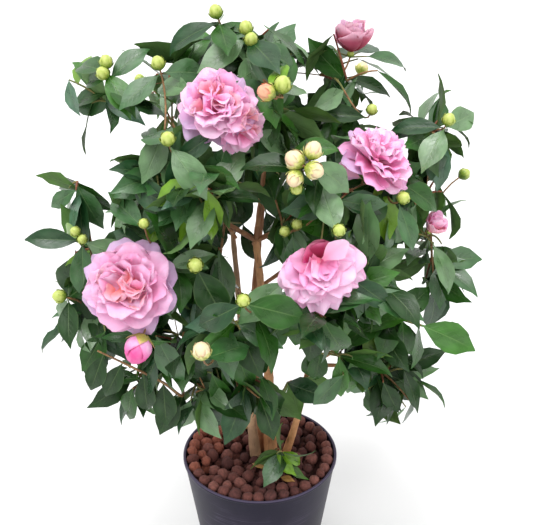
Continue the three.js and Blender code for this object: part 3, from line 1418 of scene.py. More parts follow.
    def strew(self, litter: list[FallenLeaf]) -> None:
        """Adds fallen leaves, which no twig carries.

        Args:
            litter: the leaves.
        """
        lowest = min(self.masses, key=lambda m: m.centre.z)
        for leaf in litter:
            shape = leaf.shape + len(LEAF_SHAPES)
            self.leaves[lowest.name].append((shape, leaf.place(), TINT_NAMES.index("dry")))

    def build(self) -> None:
        materials = leaf_materials()
        templates = [shape.template(4, 8) for shape in LEAF_SHAPES]
        templates += [shape.template(6, 14) for shape in LEAF_SHAPES]
        for number in range(len(self.tiers) + 1):
            members = [m for m in self.masses if sum(m.centre.z > t for t in self.tiers) == number]
            batch = Batch(f"leaves_tier_{number + 1}", materials, mapped=True)
            for mass in members:
                for shape, place, tint in self.leaves[mass.name]:
                    batch.add(templates[shape], place, 2 * tint)
            declare(batch.build(), [m.name for m in members])
        finishes = (
            BarkFinish("twig_brown", srgb(120, 88, 56), srgb(150, 112, 72), srgb(70, 48, 32), 90.0),
            BarkFinish("twig_green", srgb(104, 112, 58), srgb(128, 120, 66), srgb(82, 66, 40), 90.0),
            BarkFinish("twig_red", srgb(120, 66, 44), srgb(150, 90, 60), srgb(70, 40, 30), 90.0),
        )
        batch = Batch("twigs", [finish.material() for finish in finishes])
        for twig in self.twigs:
            radii = np.linspace(twig.start_radius, twig.end_radius, len(twig.path))
            made = Template.taken_from(tube(twig.path, list(radii), 6))
            batch.add(made, Matrix.Identity(4), twig.slot)
        declare(batch.build())


# ---------------------------------------------------------------------- blooms


class Petal(Enum):
    """The petal finishes, by their slot."""

    GUARD = 0
    PALE = 1
    PINK = 2
    SALMON = 3
    DEEP = 4
    ROSY = 5
    BRIGHT = 6
    VIVID = 7


# The bright and vivid finishes are lighter copies of the pinks: painted light that makes up for the
# shade on some blooms.
PETAL_FINISHES = (
    PetalFinish("petal_guard", srgb(204, 134, 176), srgb(214, 152, 198), srgb(210, 166, 210)),
    PetalFinish("petal_pale", srgb(240, 140, 168), srgb(240, 160, 200), srgb(238, 174, 214)),
    PetalFinish("petal_pink", srgb(236, 112, 146), srgb(238, 138, 182), srgb(238, 160, 204)),
    PetalFinish("petal_salmon", srgb(246, 126, 96), srgb(244, 150, 158), srgb(240, 170, 196)),
    PetalFinish("petal_deep", srgb(130, 14, 44), srgb(164, 34, 74), srgb(206, 86, 130)),
    PetalFinish("petal_rosy", srgb(124, 12, 32), srgb(188, 76, 102), srgb(228, 166, 190), 0.6),
    PetalFinish("petal_bright", srgb(246, 152, 184), srgb(254, 182, 222), srgb(254, 198, 234)),
    PetalFinish("petal_vivid", srgb(236, 96, 146), srgb(246, 142, 194), srgb(250, 174, 222)),
)


@dataclass(frozen=True)
class Whorl:
    """One ring of a bloom's petals. Lengths are shares of the bloom's radius.

    The lift is the petals' angle off the bloom's face at their foot. Inward bends them up over
    the bloom's middle, and reflex rolls their edge back. Cup and fold hollow them across, and
    twist turns their tip. Scatter is how far their feet stray from the middle. Their bearings
    lie in the sector, in degrees.
    """

    count: int
    lift: float
    length: float
    half_width: float
    finishes: tuple[Petal, ...]
    inward: float = 0.0
    reflex: float = 0.45
    ruffle: float = 0.035
    cup: float = 0.18
    fold: float = 0.0
    twist: float = 0.0
    scatter: float = 0.0
    sector: tuple[float, float] = (0.0, 360.0)

    def bearings(self, chance: random.Random) -> list[float]:
        """Where its petals point, in radians.

        Args:
            chance: the seeded numbers.

        Returns:
            A bearing for each petal.
        """
        low, high = self.sector
        first = chance.uniform(0, 1) if high - low >= 360 else 0.5
        gap = (high - low) / self.count
        jitter = 0.16 if self.count > 1 else 0.0
        return [
            math.radians(low + gap * (i + first + chance.uniform(-jitter, jitter)))
            for i in range(self.count)
        ]


GUARDED = (Petal.GUARD, Petal.GUARD, Petal.PALE)
SOFT = (Petal.PALE, Petal.PALE, Petal.PINK)
WARM = (Petal.PINK, Petal.PALE, Petal.SALMON)
LIVELY = (Petal.VIVID, Petal.VIVID, Petal.BRIGHT)
FAIR = (Petal.BRIGHT, Petal.BRIGHT, Petal.VIVID)
GLOWING = (Petal.VIVID, Petal.BRIGHT, Petal.SALMON)


def peony(
    outer: tuple[Petal, ...],
    middle: tuple[Petal, ...],
    inner: tuple[Petal, ...],
) -> tuple[Whorl, ...]:
    """The whorls of a full bloom.

    Args:
        outer: the finishes of its outer petals.
        middle: of those between.
        inner: of its inner petals.

    Returns:
        The whorls, from the outside in.
    """
    return (
        Whorl(8, -2, 1.0, 0.46, outer, 0.0, 0.3, 0.05),
        Whorl(7, 10, 0.94, 0.46, outer[::2] + middle[:1], 0.1, 0.5, 0.06),
        Whorl(8, 24, 0.82, 0.38, middle, 0.15, 0.7, 0.08, 0.12, 0.15, 0.3),
        Whorl(9, 38, 0.68, 0.33, middle, 0.15, 0.8, 0.08, 0.12, 0.16, 0.45, 0.12),
        Whorl(9, 50, 0.54, 0.28, inner, 0.15, 0.9, 0.09, 0.15, 0.22, 0.6, 0.26),
        Whorl(8, 62, 0.48, 0.26, inner, 0.15, 0.9, 0.09, 0.15, 0.22, 0.6, 0.22),
    )


class Form(Enum):
    """How far a bloom has opened, as its whorls from the outside in."""

    PEONY = peony(GUARDED, SOFT, WARM)
    FAIR_PEONY = peony((Petal.GUARD, Petal.BRIGHT, Petal.BRIGHT), FAIR, GLOWING)
    ROSETTE = (
        Whorl(8, 0, 0.98, 0.46, (Petal.BRIGHT, Petal.GUARD, Petal.VIVID), 0.0, 0.3, 0.05),
        Whorl(8, 16, 0.94, 0.42, LIVELY, 0.1, 0.5, 0.07, 0.12, 0.1, 0.2),
        Whorl(9, 32, 0.86, 0.36, LIVELY, 0.15, 0.7, 0.08, 0.12, 0.1, 0.3, 0.06),
        Whorl(9, 48, 0.74, 0.30, FAIR, 0.15, 0.9, 0.09, 0.12, 0.2, 0.5, 0.12),
        Whorl(9, 64, 0.64, 0.25, FAIR, 0.1, 1.0, 0.10, 0.15, 0.3, 0.7, 0.2),
    )
    TUFT = (
        Whorl(5, 6, 1.0, 0.50, LIVELY, 0.0, 0.5, 0.07),
        Whorl(6, 24, 0.88, 0.44, FAIR, 0.15, 0.7, 0.09, 0.12, 0.2, 0.4),
        Whorl(7, 46, 0.66, 0.30, GLOWING, 0.15, 1.0, 0.10, 0.15, 0.4, 0.7, 0.25),
    )
    FALLEN = (
        Whorl(8, 3, 1.06, 0.38, FAIR, 0.0, 0.4, 0.08, sector=(206, 350)),
        Whorl(7, 12, 0.96, 0.38, (Petal.BRIGHT,), 0.1, 0.5, 0.08, sector=(200, 372)),
        Whorl(6, 24, 0.76, 0.34, FAIR, 0.2, 0.6, 0.08, 0.12, 0.1, 0.3, 0.06, (190, 378)),
        Whorl(5, 38, 0.52, 0.28, LIVELY, 0.2, 0.9, 0.10, 0.12, 0.3, 0.5, 0.06, (200, 350)),
        Whorl(3, 30, 0.52, 0.34, (Petal.DEEP,), 0.3, 0.1, sector=(78, 152)),
        Whorl(1, 14, 0.66, 0.26, (Petal.PINK,), 0.1, sector=(172, 192)),
        Whorl(1, 44, 0.92, 0.24, (Petal.BRIGHT,), 0.1, 0.1, 0.01, 0.1, 0.3, sector=(44, 58)),
    )
    GOBLET = (
        Whorl(5, 20, 1.60, 0.80, (Petal.ROSY,), 1.34, 0.0, 0.02, 0.6),
        Whorl(5, 34, 1.52, 0.66, (Petal.ROSY,), 1.1, 0.0, 0.03, 0.5),
        Whorl(5, 50, 1.44, 0.50, (Petal.ROSY, Petal.PALE), 0.75, 0.1, 0.05, 0.4, 0.2, 0.3, 0.1),
        Whorl(5, 66, 1.40, 0.38, (Petal.PALE, Petal.ROSY), 0.4, 0.2, 0.06, 0.4, 0.3, 0.6, 0.15),
    )
    CUP = (
        Whorl(5, 28, 1.50, 0.64, (Petal.SALMON, Petal.SALMON, Petal.VIVID), 1.0, 0.2, 0.04, 0.5),
        Whorl(4, 48, 1.56, 0.54, (Petal.BRIGHT, Petal.VIVID), 0.7, 0.2, 0.05, 0.5),
        Whorl(4, 72, 1.40, 0.40, (Petal.BRIGHT, Petal.SALMON), 0.3, 0.3, 0.04, 0.5, 0.4, 0.5),
    )


@dataclass(frozen=True)
class Bloom:
    """A camellia bloom on the crown."""

    name: str
    centre: Vector
    facing: Vector
    radius: float
    form: Form = Form.PEONY
    calyx_depth: float = 0.28

    def place(self) -> Matrix:
        """The place of the bloom's own frame, whose Z is the way that it faces.

        Returns:
            The place.
        """
        turn = UP.rotation_difference(self.facing.normalized()).to_matrix().to_4x4()
        foot = self.centre - self.facing.normalized() * self.radius * 0.28
        return Matrix.Translation(foot) @ turn @ Matrix.Scale(self.radius, 4)

    def clearing(self, eye: Vector) -> list[Clearing]:
        """Keeps leaves out of the bloom, and from between it and the eye.

        Args:
            eye: where the shrub is seen from.

        Returns:
            The two passages.
        """
        front = self.centre + self.facing.normalized() * 0.03
        inner = Clearing(self.centre, front, self.radius * 0.8)
        return [inner, Clearing.seen(eye, self.centre, self.radius * 0.85, 0.2)]

    def add_to(self, batch: Batch) -> None:
        """Adds the bloom's petals, each of its own shape.

        Args:
            batch: the batch of petals.
        """
        chance = random.Random(f"{SEED} {self.name}")
        place = self.place()
        for level, whorl in enumerate(self.form.value):
            for bearing in whorl.bearings(chance):
                lift = math.radians(whorl.lift + chance.uniform(-8, 8))
                out = Vector((math.cos(bearing), math.sin(bearing), 0))
                along = out * math.cos(lift) + UP * math.sin(lift)
                face = UP * math.cos(lift) - out * math.sin(lift)
                face += Vector([chance.uniform(-0.16, 0.16) for _ in range(3)])
                astray = chance.uniform(0, 2 * math.pi)
                foot = Vector((math.cos(astray), math.sin(astray), 0)) * whorl.scatter
                foot += out * 0.08 * (1 - level / 9) + UP * 0.06 * level
                spot = aimed(foot, along, face, whorl.length * chance.uniform(0.92, 1.06))
                finish = chance.choice(whorl.finishes).value
                batch.add(petal_template(whorl, chance), place @ spot, finish)


def petal_template(whorl: Whorl, chance: random.Random) -> Template:
    """One petal of a whorl, of length 1, with ruffles of its own.

    Args:
        whorl: its whorl.
        chance: the seeded numbers.

    Returns:
        The petal, lying along +Y with its inner face up.
    """
    phase = chance.uniform(0, 2 * math.pi)
    waves = chance.uniform(1.2, 2.6)
    reflex = whorl.reflex * chance.uniform(0.5, 1.5)
    ruffle = whorl.ruffle * chance.uniform(0.6, 1.5)
    twist = whorl.twist * chance.uniform(-1, 1)
    skew = chance.uniform(-0.12, 0.12)
    lobe = chance.uniform(0.0, 0.06)
    half = whorl.half_width / whorl.length
    line = bent_line(lambda s: reflex * max(0.0, (s - 0.6) / 0.4) ** 1.5 - whorl.inward * s)

    def spot(across: float, along: float) -> tuple[Vector, tuple[float, float]]:
        """The point and the pattern-map place of a spot of the petal.

        Args:
            across: -1 to 1.
            along: 0 to 1 from the foot.

        Returns:
            The point and its place on the map.
        """
        swell = math.sin(math.pi / 2 * min(1.0, along / 0.76)) ** 0.9
        if along > 0.76:
            swell -= 0.2 * ((along - 0.76) / 0.24) ** 2
        width = half * max(0.2, swell)
        lobes = lobe * (math.exp(-((across - skew) / 0.3) ** 2) + 0.4 * math.sin(across * 6 + phase))
        reach = along * (1 - 0.3 * abs(across) ** 2.6 * along ** 2 - lobes * along ** 4)
        point, angle = spot_on(line, reach)
        normal = Vector((0, math.sin(angle), math.cos(angle)))
        turn = twist * along
        sideways = Vector((math.cos(turn), 0, 0)) + normal * math.sin(turn)
        wave = math.sin(across * math.pi * waves + phase + along * 2) * ruffle * along ** 1.5
        rise = width * (whorl.cup * across ** 2 + whorl.fold * abs(across)) + wave
        return point + sideways * across * width + normal * rise, (0.5 + 0.5 * across, along)

    return Template.taken_from(closed_sheet(9, 9, spot, 0.012))


# ------------------------------------------------------------------------ buds


class BudKind(Enum):
    """Kinds of bud, by the first of the three finishes of their core, wrap and calyx."""

    GREEN = 0
    CREAM = 3
    BLUSH = 6
    ROSE = 9


BUD_FINISHES = (
    GrainFinish("bud_green", srgb(166, 182, 84), srgb(190, 200, 112), 0.4, 6.0, 0.2),
    GrainFinish("bud_wrap", srgb(104, 134, 38), srgb(140, 164, 56), 0.4, 6.0, 0.2,
                srgb(182, 194, 96)),
    GrainFinish("bud_calyx", srgb(72, 102, 30), srgb(104, 130, 42), 0.42, 6.0, 0.3,
                srgb(152, 170, 70)),
    GrainFinish("bud_cream", srgb(222, 212, 168), srgb(224, 188, 160), 0.5, 4.0, 0.2),
    GrainFinish("bud_cream_wrap", srgb(174, 180, 76), srgb(204, 200, 118), 0.5, 4.0, 0.2,
                srgb(230, 212, 178)),
    GrainFinish("bud_calyx_pale", srgb(124, 142, 46), srgb(160, 168, 70), 0.45, 6.0, 0.3,
                srgb(214, 208, 136)),
    GrainFinish("bud_blush", srgb(222, 138, 112), srgb(222, 172, 138), 0.5, 4.0, 0.2),
    GrainFinish("bud_blush_wrap", srgb(150, 166, 64), srgb(190, 186, 100), 0.5, 4.0, 0.2,
                srgb(226, 164, 130)),
    GrainFinish("bud_calyx_buff", srgb(104, 128, 44), srgb(140, 154, 66), 0.45, 6.0, 0.3,
                srgb(196, 186, 100)),
    GrainFinish("bud_rose", srgb(206, 66, 136), srgb(224, 112, 168), 0.5, 4.0, 0.2),
    GrainFinish("bud_rose_wrap", srgb(218, 140, 188), srgb(224, 176, 208), 0.5, 2.0, 0.2,
                srgb(206, 62, 138)),
    GrainFinish("bud_calyx_tan", srgb(150, 156, 62), srgb(176, 150, 80), 0.45, 6.0, 0.3,
                srgb(206, 176, 120)),
)


@dataclass(frozen=True)
class Bud:
    """A bud at the end of a shoot."""

    centre: Vector
    facing: Vector
    length: float = 15 * MM
    kind: BudKind = BudKind.GREEN


def bud_template(calyx: float) -> Template:
    """A bud of length 1 about the origin, along +Y.

    Args:
        calyx: how far the calyx reaches up it.

    Returns:
        The bud, with its core in slot 0, the scales that wrap it in 1 and its calyx in 2.
    """
    bud = bmesh.new()
    bud.loops.layers.uv.new(PATTERN_MAP)
    bmesh.ops.create_icosphere(bud, subdivisions=2, radius=0.5, calc_uvs=True)
    for vertex in bud.verts:
        point = vertex.co
        narrow = 0.88 * (1 - 0.5 * max(0.0, point.y) ** 1.6)
        vertex.co = Vector((point.x * narrow, point.y, point.z * narrow))
    for face in bud.faces:
        face.smooth = True
    for whorl, (count, foot, reach) in enumerate(((4, -0.46, 0.82), (4, -0.52, calyx))):
        for i in range(count):
            bearing = 2 * math.pi * (i + 0.5 * whorl) / count
            turn = Matrix.Rotation(bearing, 4, "Y")

            def spot(across: float, along: float) -> tuple[Vector, tuple[float, float]]:
                """A spot of a scale that hugs the core.

                Args:
                    across: -1 to 1.
                    along: 0 to 1 from the foot.

                Returns:
                    The point and its place on the map.
                """
                height = foot + reach * along * (1 - 0.3 * across * across)
                belly = math.sqrt(max(0.02, 0.25 - height * height)) * 0.92
                belly *= 1.06 + 0.06 * whorl - 0.1 * abs(across) + 0.05 * along
                angle = across * 0.85 * math.sin(math.pi * min(0.96, 0.25 + 0.72 * along))
                around = Vector((math.sin(angle), 0, math.cos(angle))) * belly
                return turn @ (around + Vector((0, height, 0))), (0.5 + 0.5 * across, along)

            scale = closed_sheet(4, 4, spot, 0.02, (whorl + 1, whorl + 1))
            data = bpy.data.meshes.new("scale")
            scale.to_mesh(data)
            scale.free()
            bud.from_mesh(data)
            bpy.data.meshes.remove(data)
    return Template.taken_from(bud)


@dataclass
class Flowering:
    """All the blooms and buds, with the twigs that carry them."""

    blooms: list[Bloom]
    buds: list[Bud]

    def carry(self, crown: Crown) -> None:
        """Grows a twig to each bloom and bud from the nearest of the crown's twigs.

        Args:
            crown: the grown crown, which takes the twigs.
        """
        nodes = [point for twig in crown.twigs for point in twig.path]
        for item in (*self.blooms, *self.buds):
            back = item.radius * 0.28 if isinstance(item, Bloom) else item.length * 0.45
            facing = item.facing.normalized()
            end = item.centre - facing * back
            start = min(nodes, key=lambda p: (p - end + facing * 0.02).length)
            knee = end - facing * (start - end).length * 0.5
            crown.twigs.append(Twig(bezier(start, knee, end, 6), 1.1 * MM, 0.9 * MM, 0))

    def build(self) -> None:
        petals = Batch("petals", [f.material() for f in PETAL_FINISHES], mapped=True)
        for bloom in self.blooms:
            bloom.add_to(petals)
        declare(petals.build())
        closed, opening = bud_template(0.62), bud_template(0.34)
        buds = Batch("buds", [f.material() for f in BUD_FINISHES], mapped=True)
        for bud in self.buds:
            place = aimed(bud.centre, bud.facing, bud.facing.orthogonal(), bud.length)
            buds.add(opening if bud.kind is BudKind.ROSE else closed, place, bud.kind.value)
        for bloom in self.blooms:
            foot = bloom.place() @ Vector((0, 0, -bloom.calyx_depth))
            place = aimed(foot, bloom.facing, bloom.facing.orthogonal(), bloom.radius * 0.4)
            buds.add(closed, place, BudKind.GREEN.value)
        declare(buds.build())


# ------------------------------------------------------------------------- pot


@dataclass
class Pot:
    """A dark nursery pot with a thin lip and drain holes under it."""

    wall: float = 2.4 * MM
    floor: float = 4 * MM
    lip: float = 0.9 * MM
    lip_height: float = 4 * MM
    foot_bevel: float = 3 * MM
    hole_radius: float = 6 * MM
    hole_reach: float = 50 * MM
    holes: int = 4
    steps: int = 128

    def build(self) -> None:
        low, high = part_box("pot")
        height = high.z
        rim = (high.x - low.x) / 2
        points = [vertex.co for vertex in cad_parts["pot"].data.vertices]
        foot = max(math.hypot(p.x, p.y) for p in points if p.z < 1 * MM) + self.foot_bevel
        slope = (rim - self.lip - foot) / height
        outer = rim - self.lip

        def side(z: float) -> float:
            """The outer radius at a height."""
            return foot + slope * z

        profile = [
            (0, 0),
            (foot - self.foot_bevel, 0),
            (side(0) - self.foot_bevel * 0.3, self.foot_bevel * 0.3),
            (side(self.foot_bevel), self.foot_bevel),
            (side(height * 0.5), height * 0.5),
            (side(height - self.lip_height - 1 * MM), height - self.lip_height - 1 * MM),
            (outer + self.lip * 0.7, height - self.lip_height),
            (rim, height - self.lip_height + 0.8 * MM),
            (rim, height - 1.0 * MM),
            (rim - 0.6 * MM, height - 0.2 * MM),
            (outer - self.wall * 0.4, height),
            (outer - self.wall, height - 0.8 * MM),
            (side(self.floor + 3 * MM) - self.wall, self.floor + 3 * MM),
            (side(0) - self.wall - 3 * MM, self.floor),
            (0, self.floor),
        ]
        pot = bmesh.new()
        spots = [pot.verts.new((radius, 0, z)) for radius, z in profile]
        line = [pot.edges.new(pair) for pair in zip(spots, spots[1:])]
        bmesh.ops.spin(
            pot, geom=spots + line, cent=(0, 0, 0), axis=(0, 0, 1), dvec=(0, 0, 0),
            angle=2 * math.pi, steps=self.steps, use_merge=True,
        )
        bmesh.ops.remove_doubles(pot, verts=pot.verts[:], dist=1e-6)
        bmesh.ops.recalc_face_normals(pot, faces=pot.faces[:])
        piece = from_bmesh("pot_shell", pot)
        self._drill(piece)
        piece.data.set_sharp_from_angle(angle=math.radians(38))
        finish = PotFinish("pot_plastic", srgb(13, 8, 31), srgb(84, 76, 98), height)
        piece.data.materials.append(finish.material())
        declare(piece, ["pot"])

    def _drill(self, piece: bpy.types.Object) -> None:
        """Cuts the drain holes through the floor of the pot.

        Args:
            piece: the pot.
        """
        drill = bmesh.new()
        for i in range(self.holes):
            bearing = 2 * math.pi * i / self.holes
            at = Vector((math.cos(bearing), math.sin(bearing), 0)) * self.hole_reach
            bmesh.ops.create_cone(
                drill, cap_ends=True, segments=24, radius1=self.hole_radius,
                radius2=self.hole_radius, depth=4 * self.floor, matrix=Matrix.Translation(at),
            )
        cutter = from_bmesh("drill", drill)
        cut = piece.modifiers.new("drain_holes", "BOOLEAN")
        cut.operation = "DIFFERENCE"
        cut.solver = "EXACT"
        cut.object = cutter
        apply_modifiers(piece)
        bpy.data.objects.remove(cutter)


def apply_modifiers(piece: bpy.types.Object) -> None:
    """Makes a piece's modifiers part of its mesh.

    Args:
        piece: the piece.
    """
    bpy.context.view_layer.update()
    graph = bpy.context.evaluated_depsgraph_get()
    mesh = bpy.data.meshes.new_from_object(piece.evaluated_get(graph))
    piece.modifiers.clear()
    piece.data = mesh


@dataclass
class Pellets:
    """The fired-clay pellets that fill the pot up to its rim."""

    size: float = 16.5 * MM
    spread: float = 0.80
    layers: int = 2
    shapes: int = 8
    taper: float = 0.78

    def build(self) -> None:
        """Strews the pellets over a solid filling, and declares both as one piece."""
        low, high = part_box("pellet_fill")
        chance = random.Random(f"{SEED} pellets")
        colours = (srgb(106, 60, 53), srgb(86, 47, 43), srgb(130, 80, 71), srgb(150, 86, 68))
        finishes = [
            GrainFinish(f"clay_{i + 1}", colour, tuple(c * 0.62 for c in colour), 0.9, 9.0, 0.5)
            for i, colour in enumerate(colours)
        ]
        batch = Batch("clay_pellets", [finish.material() for finish in finishes], mapped=True)
        shapes = [self._pellet(chance) for _ in range(self.shapes)]
        radius = (high.x - low.x) / 2 - self.size * 0.43
        top = high.z - self.size * 0.2
        batch.add(self._core(radius * 0.97, low.z, top - self.size * 1.1), Matrix.Identity(4), 1)
        for layer in range(self.layers):
            for spot in self._spots(radius - layer * 3 * MM, chance):
                level = top - layer * self.size * 0.7 + chance.uniform(-1.4, 1.0) * MM
                level += 4.6 * MM * (spot.length / radius) ** 3
                place = Matrix.Translation((spot.x, spot.y, level))
                turn = Quaternion([chance.gauss(0, 1) for _ in range(4)]).normalized()
                size = self.size * chance.uniform(0.84, 1.14)
                bright = spot.x < -0.03 and chance.random() < 0.8
                slot = chance.choice((0, 2, 2) if bright else (0, 0, 0, 1, 1, 2))
                if spot.y * 0.6 - spot.x > chance.uniform(0.05, 0.10):
                    slot = 3
                batch.add(
                    chance.choice(shapes),
                    place @ turn.to_matrix().to_4x4() @ Matrix.Scale(size, 4),
                    slot,
                )
        declare(batch.build(), ["pellet_fill"])

    def _spots(self, radius: float, chance: random.Random) -> list[Vector]:
        """Places for a layer's pellets: a ring by the wall, and the rest at random inside it.

        Args:
            radius: how far out they may be.
            chance: the seeded numbers.

        Returns:
            The places, no nearer each other than they may be.
        """
        around = int(2 * math.pi * radius / (self.size * 0.92))
        turns = [2 * math.pi * (i + chance.uniform(-0.12, 0.12)) / around for i in range(around)]
        found = [Vector((math.cos(turn), math.sin(turn))) * radius for turn in turns]
        for _ in range(6000):
            spot = Vector((chance.uniform(-1, 1), chance.uniform(-1, 1))) * radius
            apart = self.size * self.spread
            if spot.length < radius and all((spot - other).length > apart for other in found):
                found.append(spot)
        return found

    def _pellet(self, chance: random.Random) -> Template:
        """One uneven oval pellet of length about 1.

        Args:
            chance: the seeded numbers.

        Returns:
            The pellet.
        """
        pellet = bmesh.new()
        pellet.loops.layers.uv.new(PATTERN_MAP)
        bmesh.ops.create_uvsphere(pellet, u_segments=9, v_segments=6, radius=0.5, calc_uvs=True)
        offset = Vector([chance.uniform(0, 50) for _ in range(3)])
        stretch = Vector((1.0, chance.uniform(0.84, 0.98), chance.uniform(0.76, 0.92)))
        for vertex in pellet.verts:
            lump = 1 + 0.2 * noise.noise(vertex.co * 2.6 + offset)
            vertex.co = Vector([a * b * lump for a, b in zip(vertex.co, stretch)])
        return Template.taken_from(pellet)

    def _core(self, radius: float, low: float, high: float) -> Template:
        """The dark filling below the pellets, that shows between them.

        Args:
            radius: its radius at the top.
            low: its lower end.
            high: its upper end.

        Returns:
            The filling.
        """
        core = bmesh.new()
        core.loops.layers.uv.new(PATTERN_MAP)
        bmesh.ops.create_cone(
            core, cap_ends=True, segments=64, radius1=radius * self.taper, radius2=radius,
            depth=high - low, matrix=Matrix.Translation((0, 0, (high + low) / 2)),
            calc_uvs=True,
        )
        return Template.taken_from(core)


# ---------------------------------------------------------------------- studio


@dataclass
class Studio:
    """A pale floor, soft light and the camera."""

    eye: Vector = Vector((0.015, -0.90, 0.893))
    pitch: float = math.radians(25.1)
    lens: float = 56.2
    floor_size: float = 40.0

    def build(self) -> None:
        """Sets up the floor, the lights and the camera."""
        scene = bpy.context.scene
        scene.view_settings.view_transform = "Standard"
        self._floor()
        self._sky(scene)
        self._lamp("key", 1.8, 45, (26, 0, -24))
        self._lamp("glint", 0.45, 9, (12, 0, -20))
        self._lamp("fill", 0.3, 60, (50, 0, 55))
        camera = bpy.data.cameras.new("camera")
        camera.lens = self.lens
        camera.clip_end = 60
        eye = bpy.data.objects.new("camera", camera)
        eye.location = self.eye
        eye.rotation_euler = (math.pi / 2 - self.pitch, 0, 0)
        scene.collection.objects.link(eye)
        scene.camera = eye

    def _floor(self) -> None:
        """A wide matt floor."""
        floor = bmesh.new()
        bmesh.ops.create_grid(floor, x_segments=1, y_segments=1, size=self.floor_size / 2)
        piece = from_bmesh("floor", floor)
        shade = Shade("floor_paint")
        speck = shade.noise(shade.place(), 3.0)
        colour = shade.mix(speck, srgb(216, 216, 216), srgb(219, 219, 219))
        paint = {"Base Color": colour, "Roughness": 0.9, "Specular IOR Level": 0.1}
        piece.data.materials.append(shade.surface(paint))

    def _sky(self, scene: bpy.types.Scene) -> None:
        """A white sky, brighter overhead, with a pale band round the horizon.

        Args:
            scene: the scene that it lights.
        """
        shade = Shade("studio", sky=True)
        aim = shade.node("ShaderNodeTexCoord").outputs["Generated"]
        height = Value(shade, shade.node("ShaderNodeSeparateXYZ", {"Vector": aim}).outputs["Z"])
        power = height.ramp(0.0, 0.9) * 0.95 + height.ramp(0.4, 0.1) * 0.42 + 0.56
        light = shade.node("ShaderNodeBackground", {"Color": (1.0, 1.0, 1.0), "Strength": power})
        shade.node("ShaderNodeOutputWorld", {"Surface": light.outputs[0]})
        scene.world = shade.material

    def _lamp(self, name: str, power: float, softness: float, turn: tuple[int, int, int]) -> None:
        """A broad, soft, distant lamp.

        Args:
            name: its name.
            power: its strength.
            softness: how many degrees wide it looks.
            turn: its turn in degrees, from shining straight down.
        """
        lamp = bpy.data.lights.new(name, "SUN")
        lamp.energy = power
        lamp.angle = math.radians(softness)
        holder = bpy.data.objects.new(name, lamp)
        holder.rotation_euler = [math.radians(a) for a in turn]
        bpy.context.scene.collection.objects.link(holder)


# ------------------------------------------------------------------------ main


BLOOMS = [
    Bloom("left", at_mm(-125, -160, 521), Vector((-0.08, -0.9, 0.5)), 47 * MM),
    Bloom("upper_left", at_mm(-38, -110, 689), Vector((-0.1, -0.8, 0.65)), 39 * MM, Form.FAIR_PEONY),
    Bloom("upper_left_lobe", at_mm(-12, -116, 668), Vector((0.5, -0.75, -0.1)), 27 * MM, Form.TUFT),
    Bloom("upper_right", at_mm(122, -90, 630), Vector((0.5, -0.3, 0.8)), 40 * MM, Form.ROSETTE),
    Bloom("lower_right", at_mm(63, -165, 551), Vector((0.1, -0.9, 0.35)), 45 * MM, Form.FALLEN),
    Bloom("top", at_mm(101, 25, 717), Vector((0.05, -0.1, 1.0)), 22 * MM, Form.GOBLET, 0.1),
    Bloom("small_right", at_mm(189, -50, 536), Vector((0.4, -0.3, 0.85)), 15 * MM, Form.CUP, 0.1),
    Bloom("rear", at_mm(-60, 206, 600), Vector((-0.2, 0.9, 0.5)), 46 * MM),
    Bloom("rear_right", at_mm(148, 176, 520), Vector((0.6, 0.75, 0.35)), 44 * MM),
]

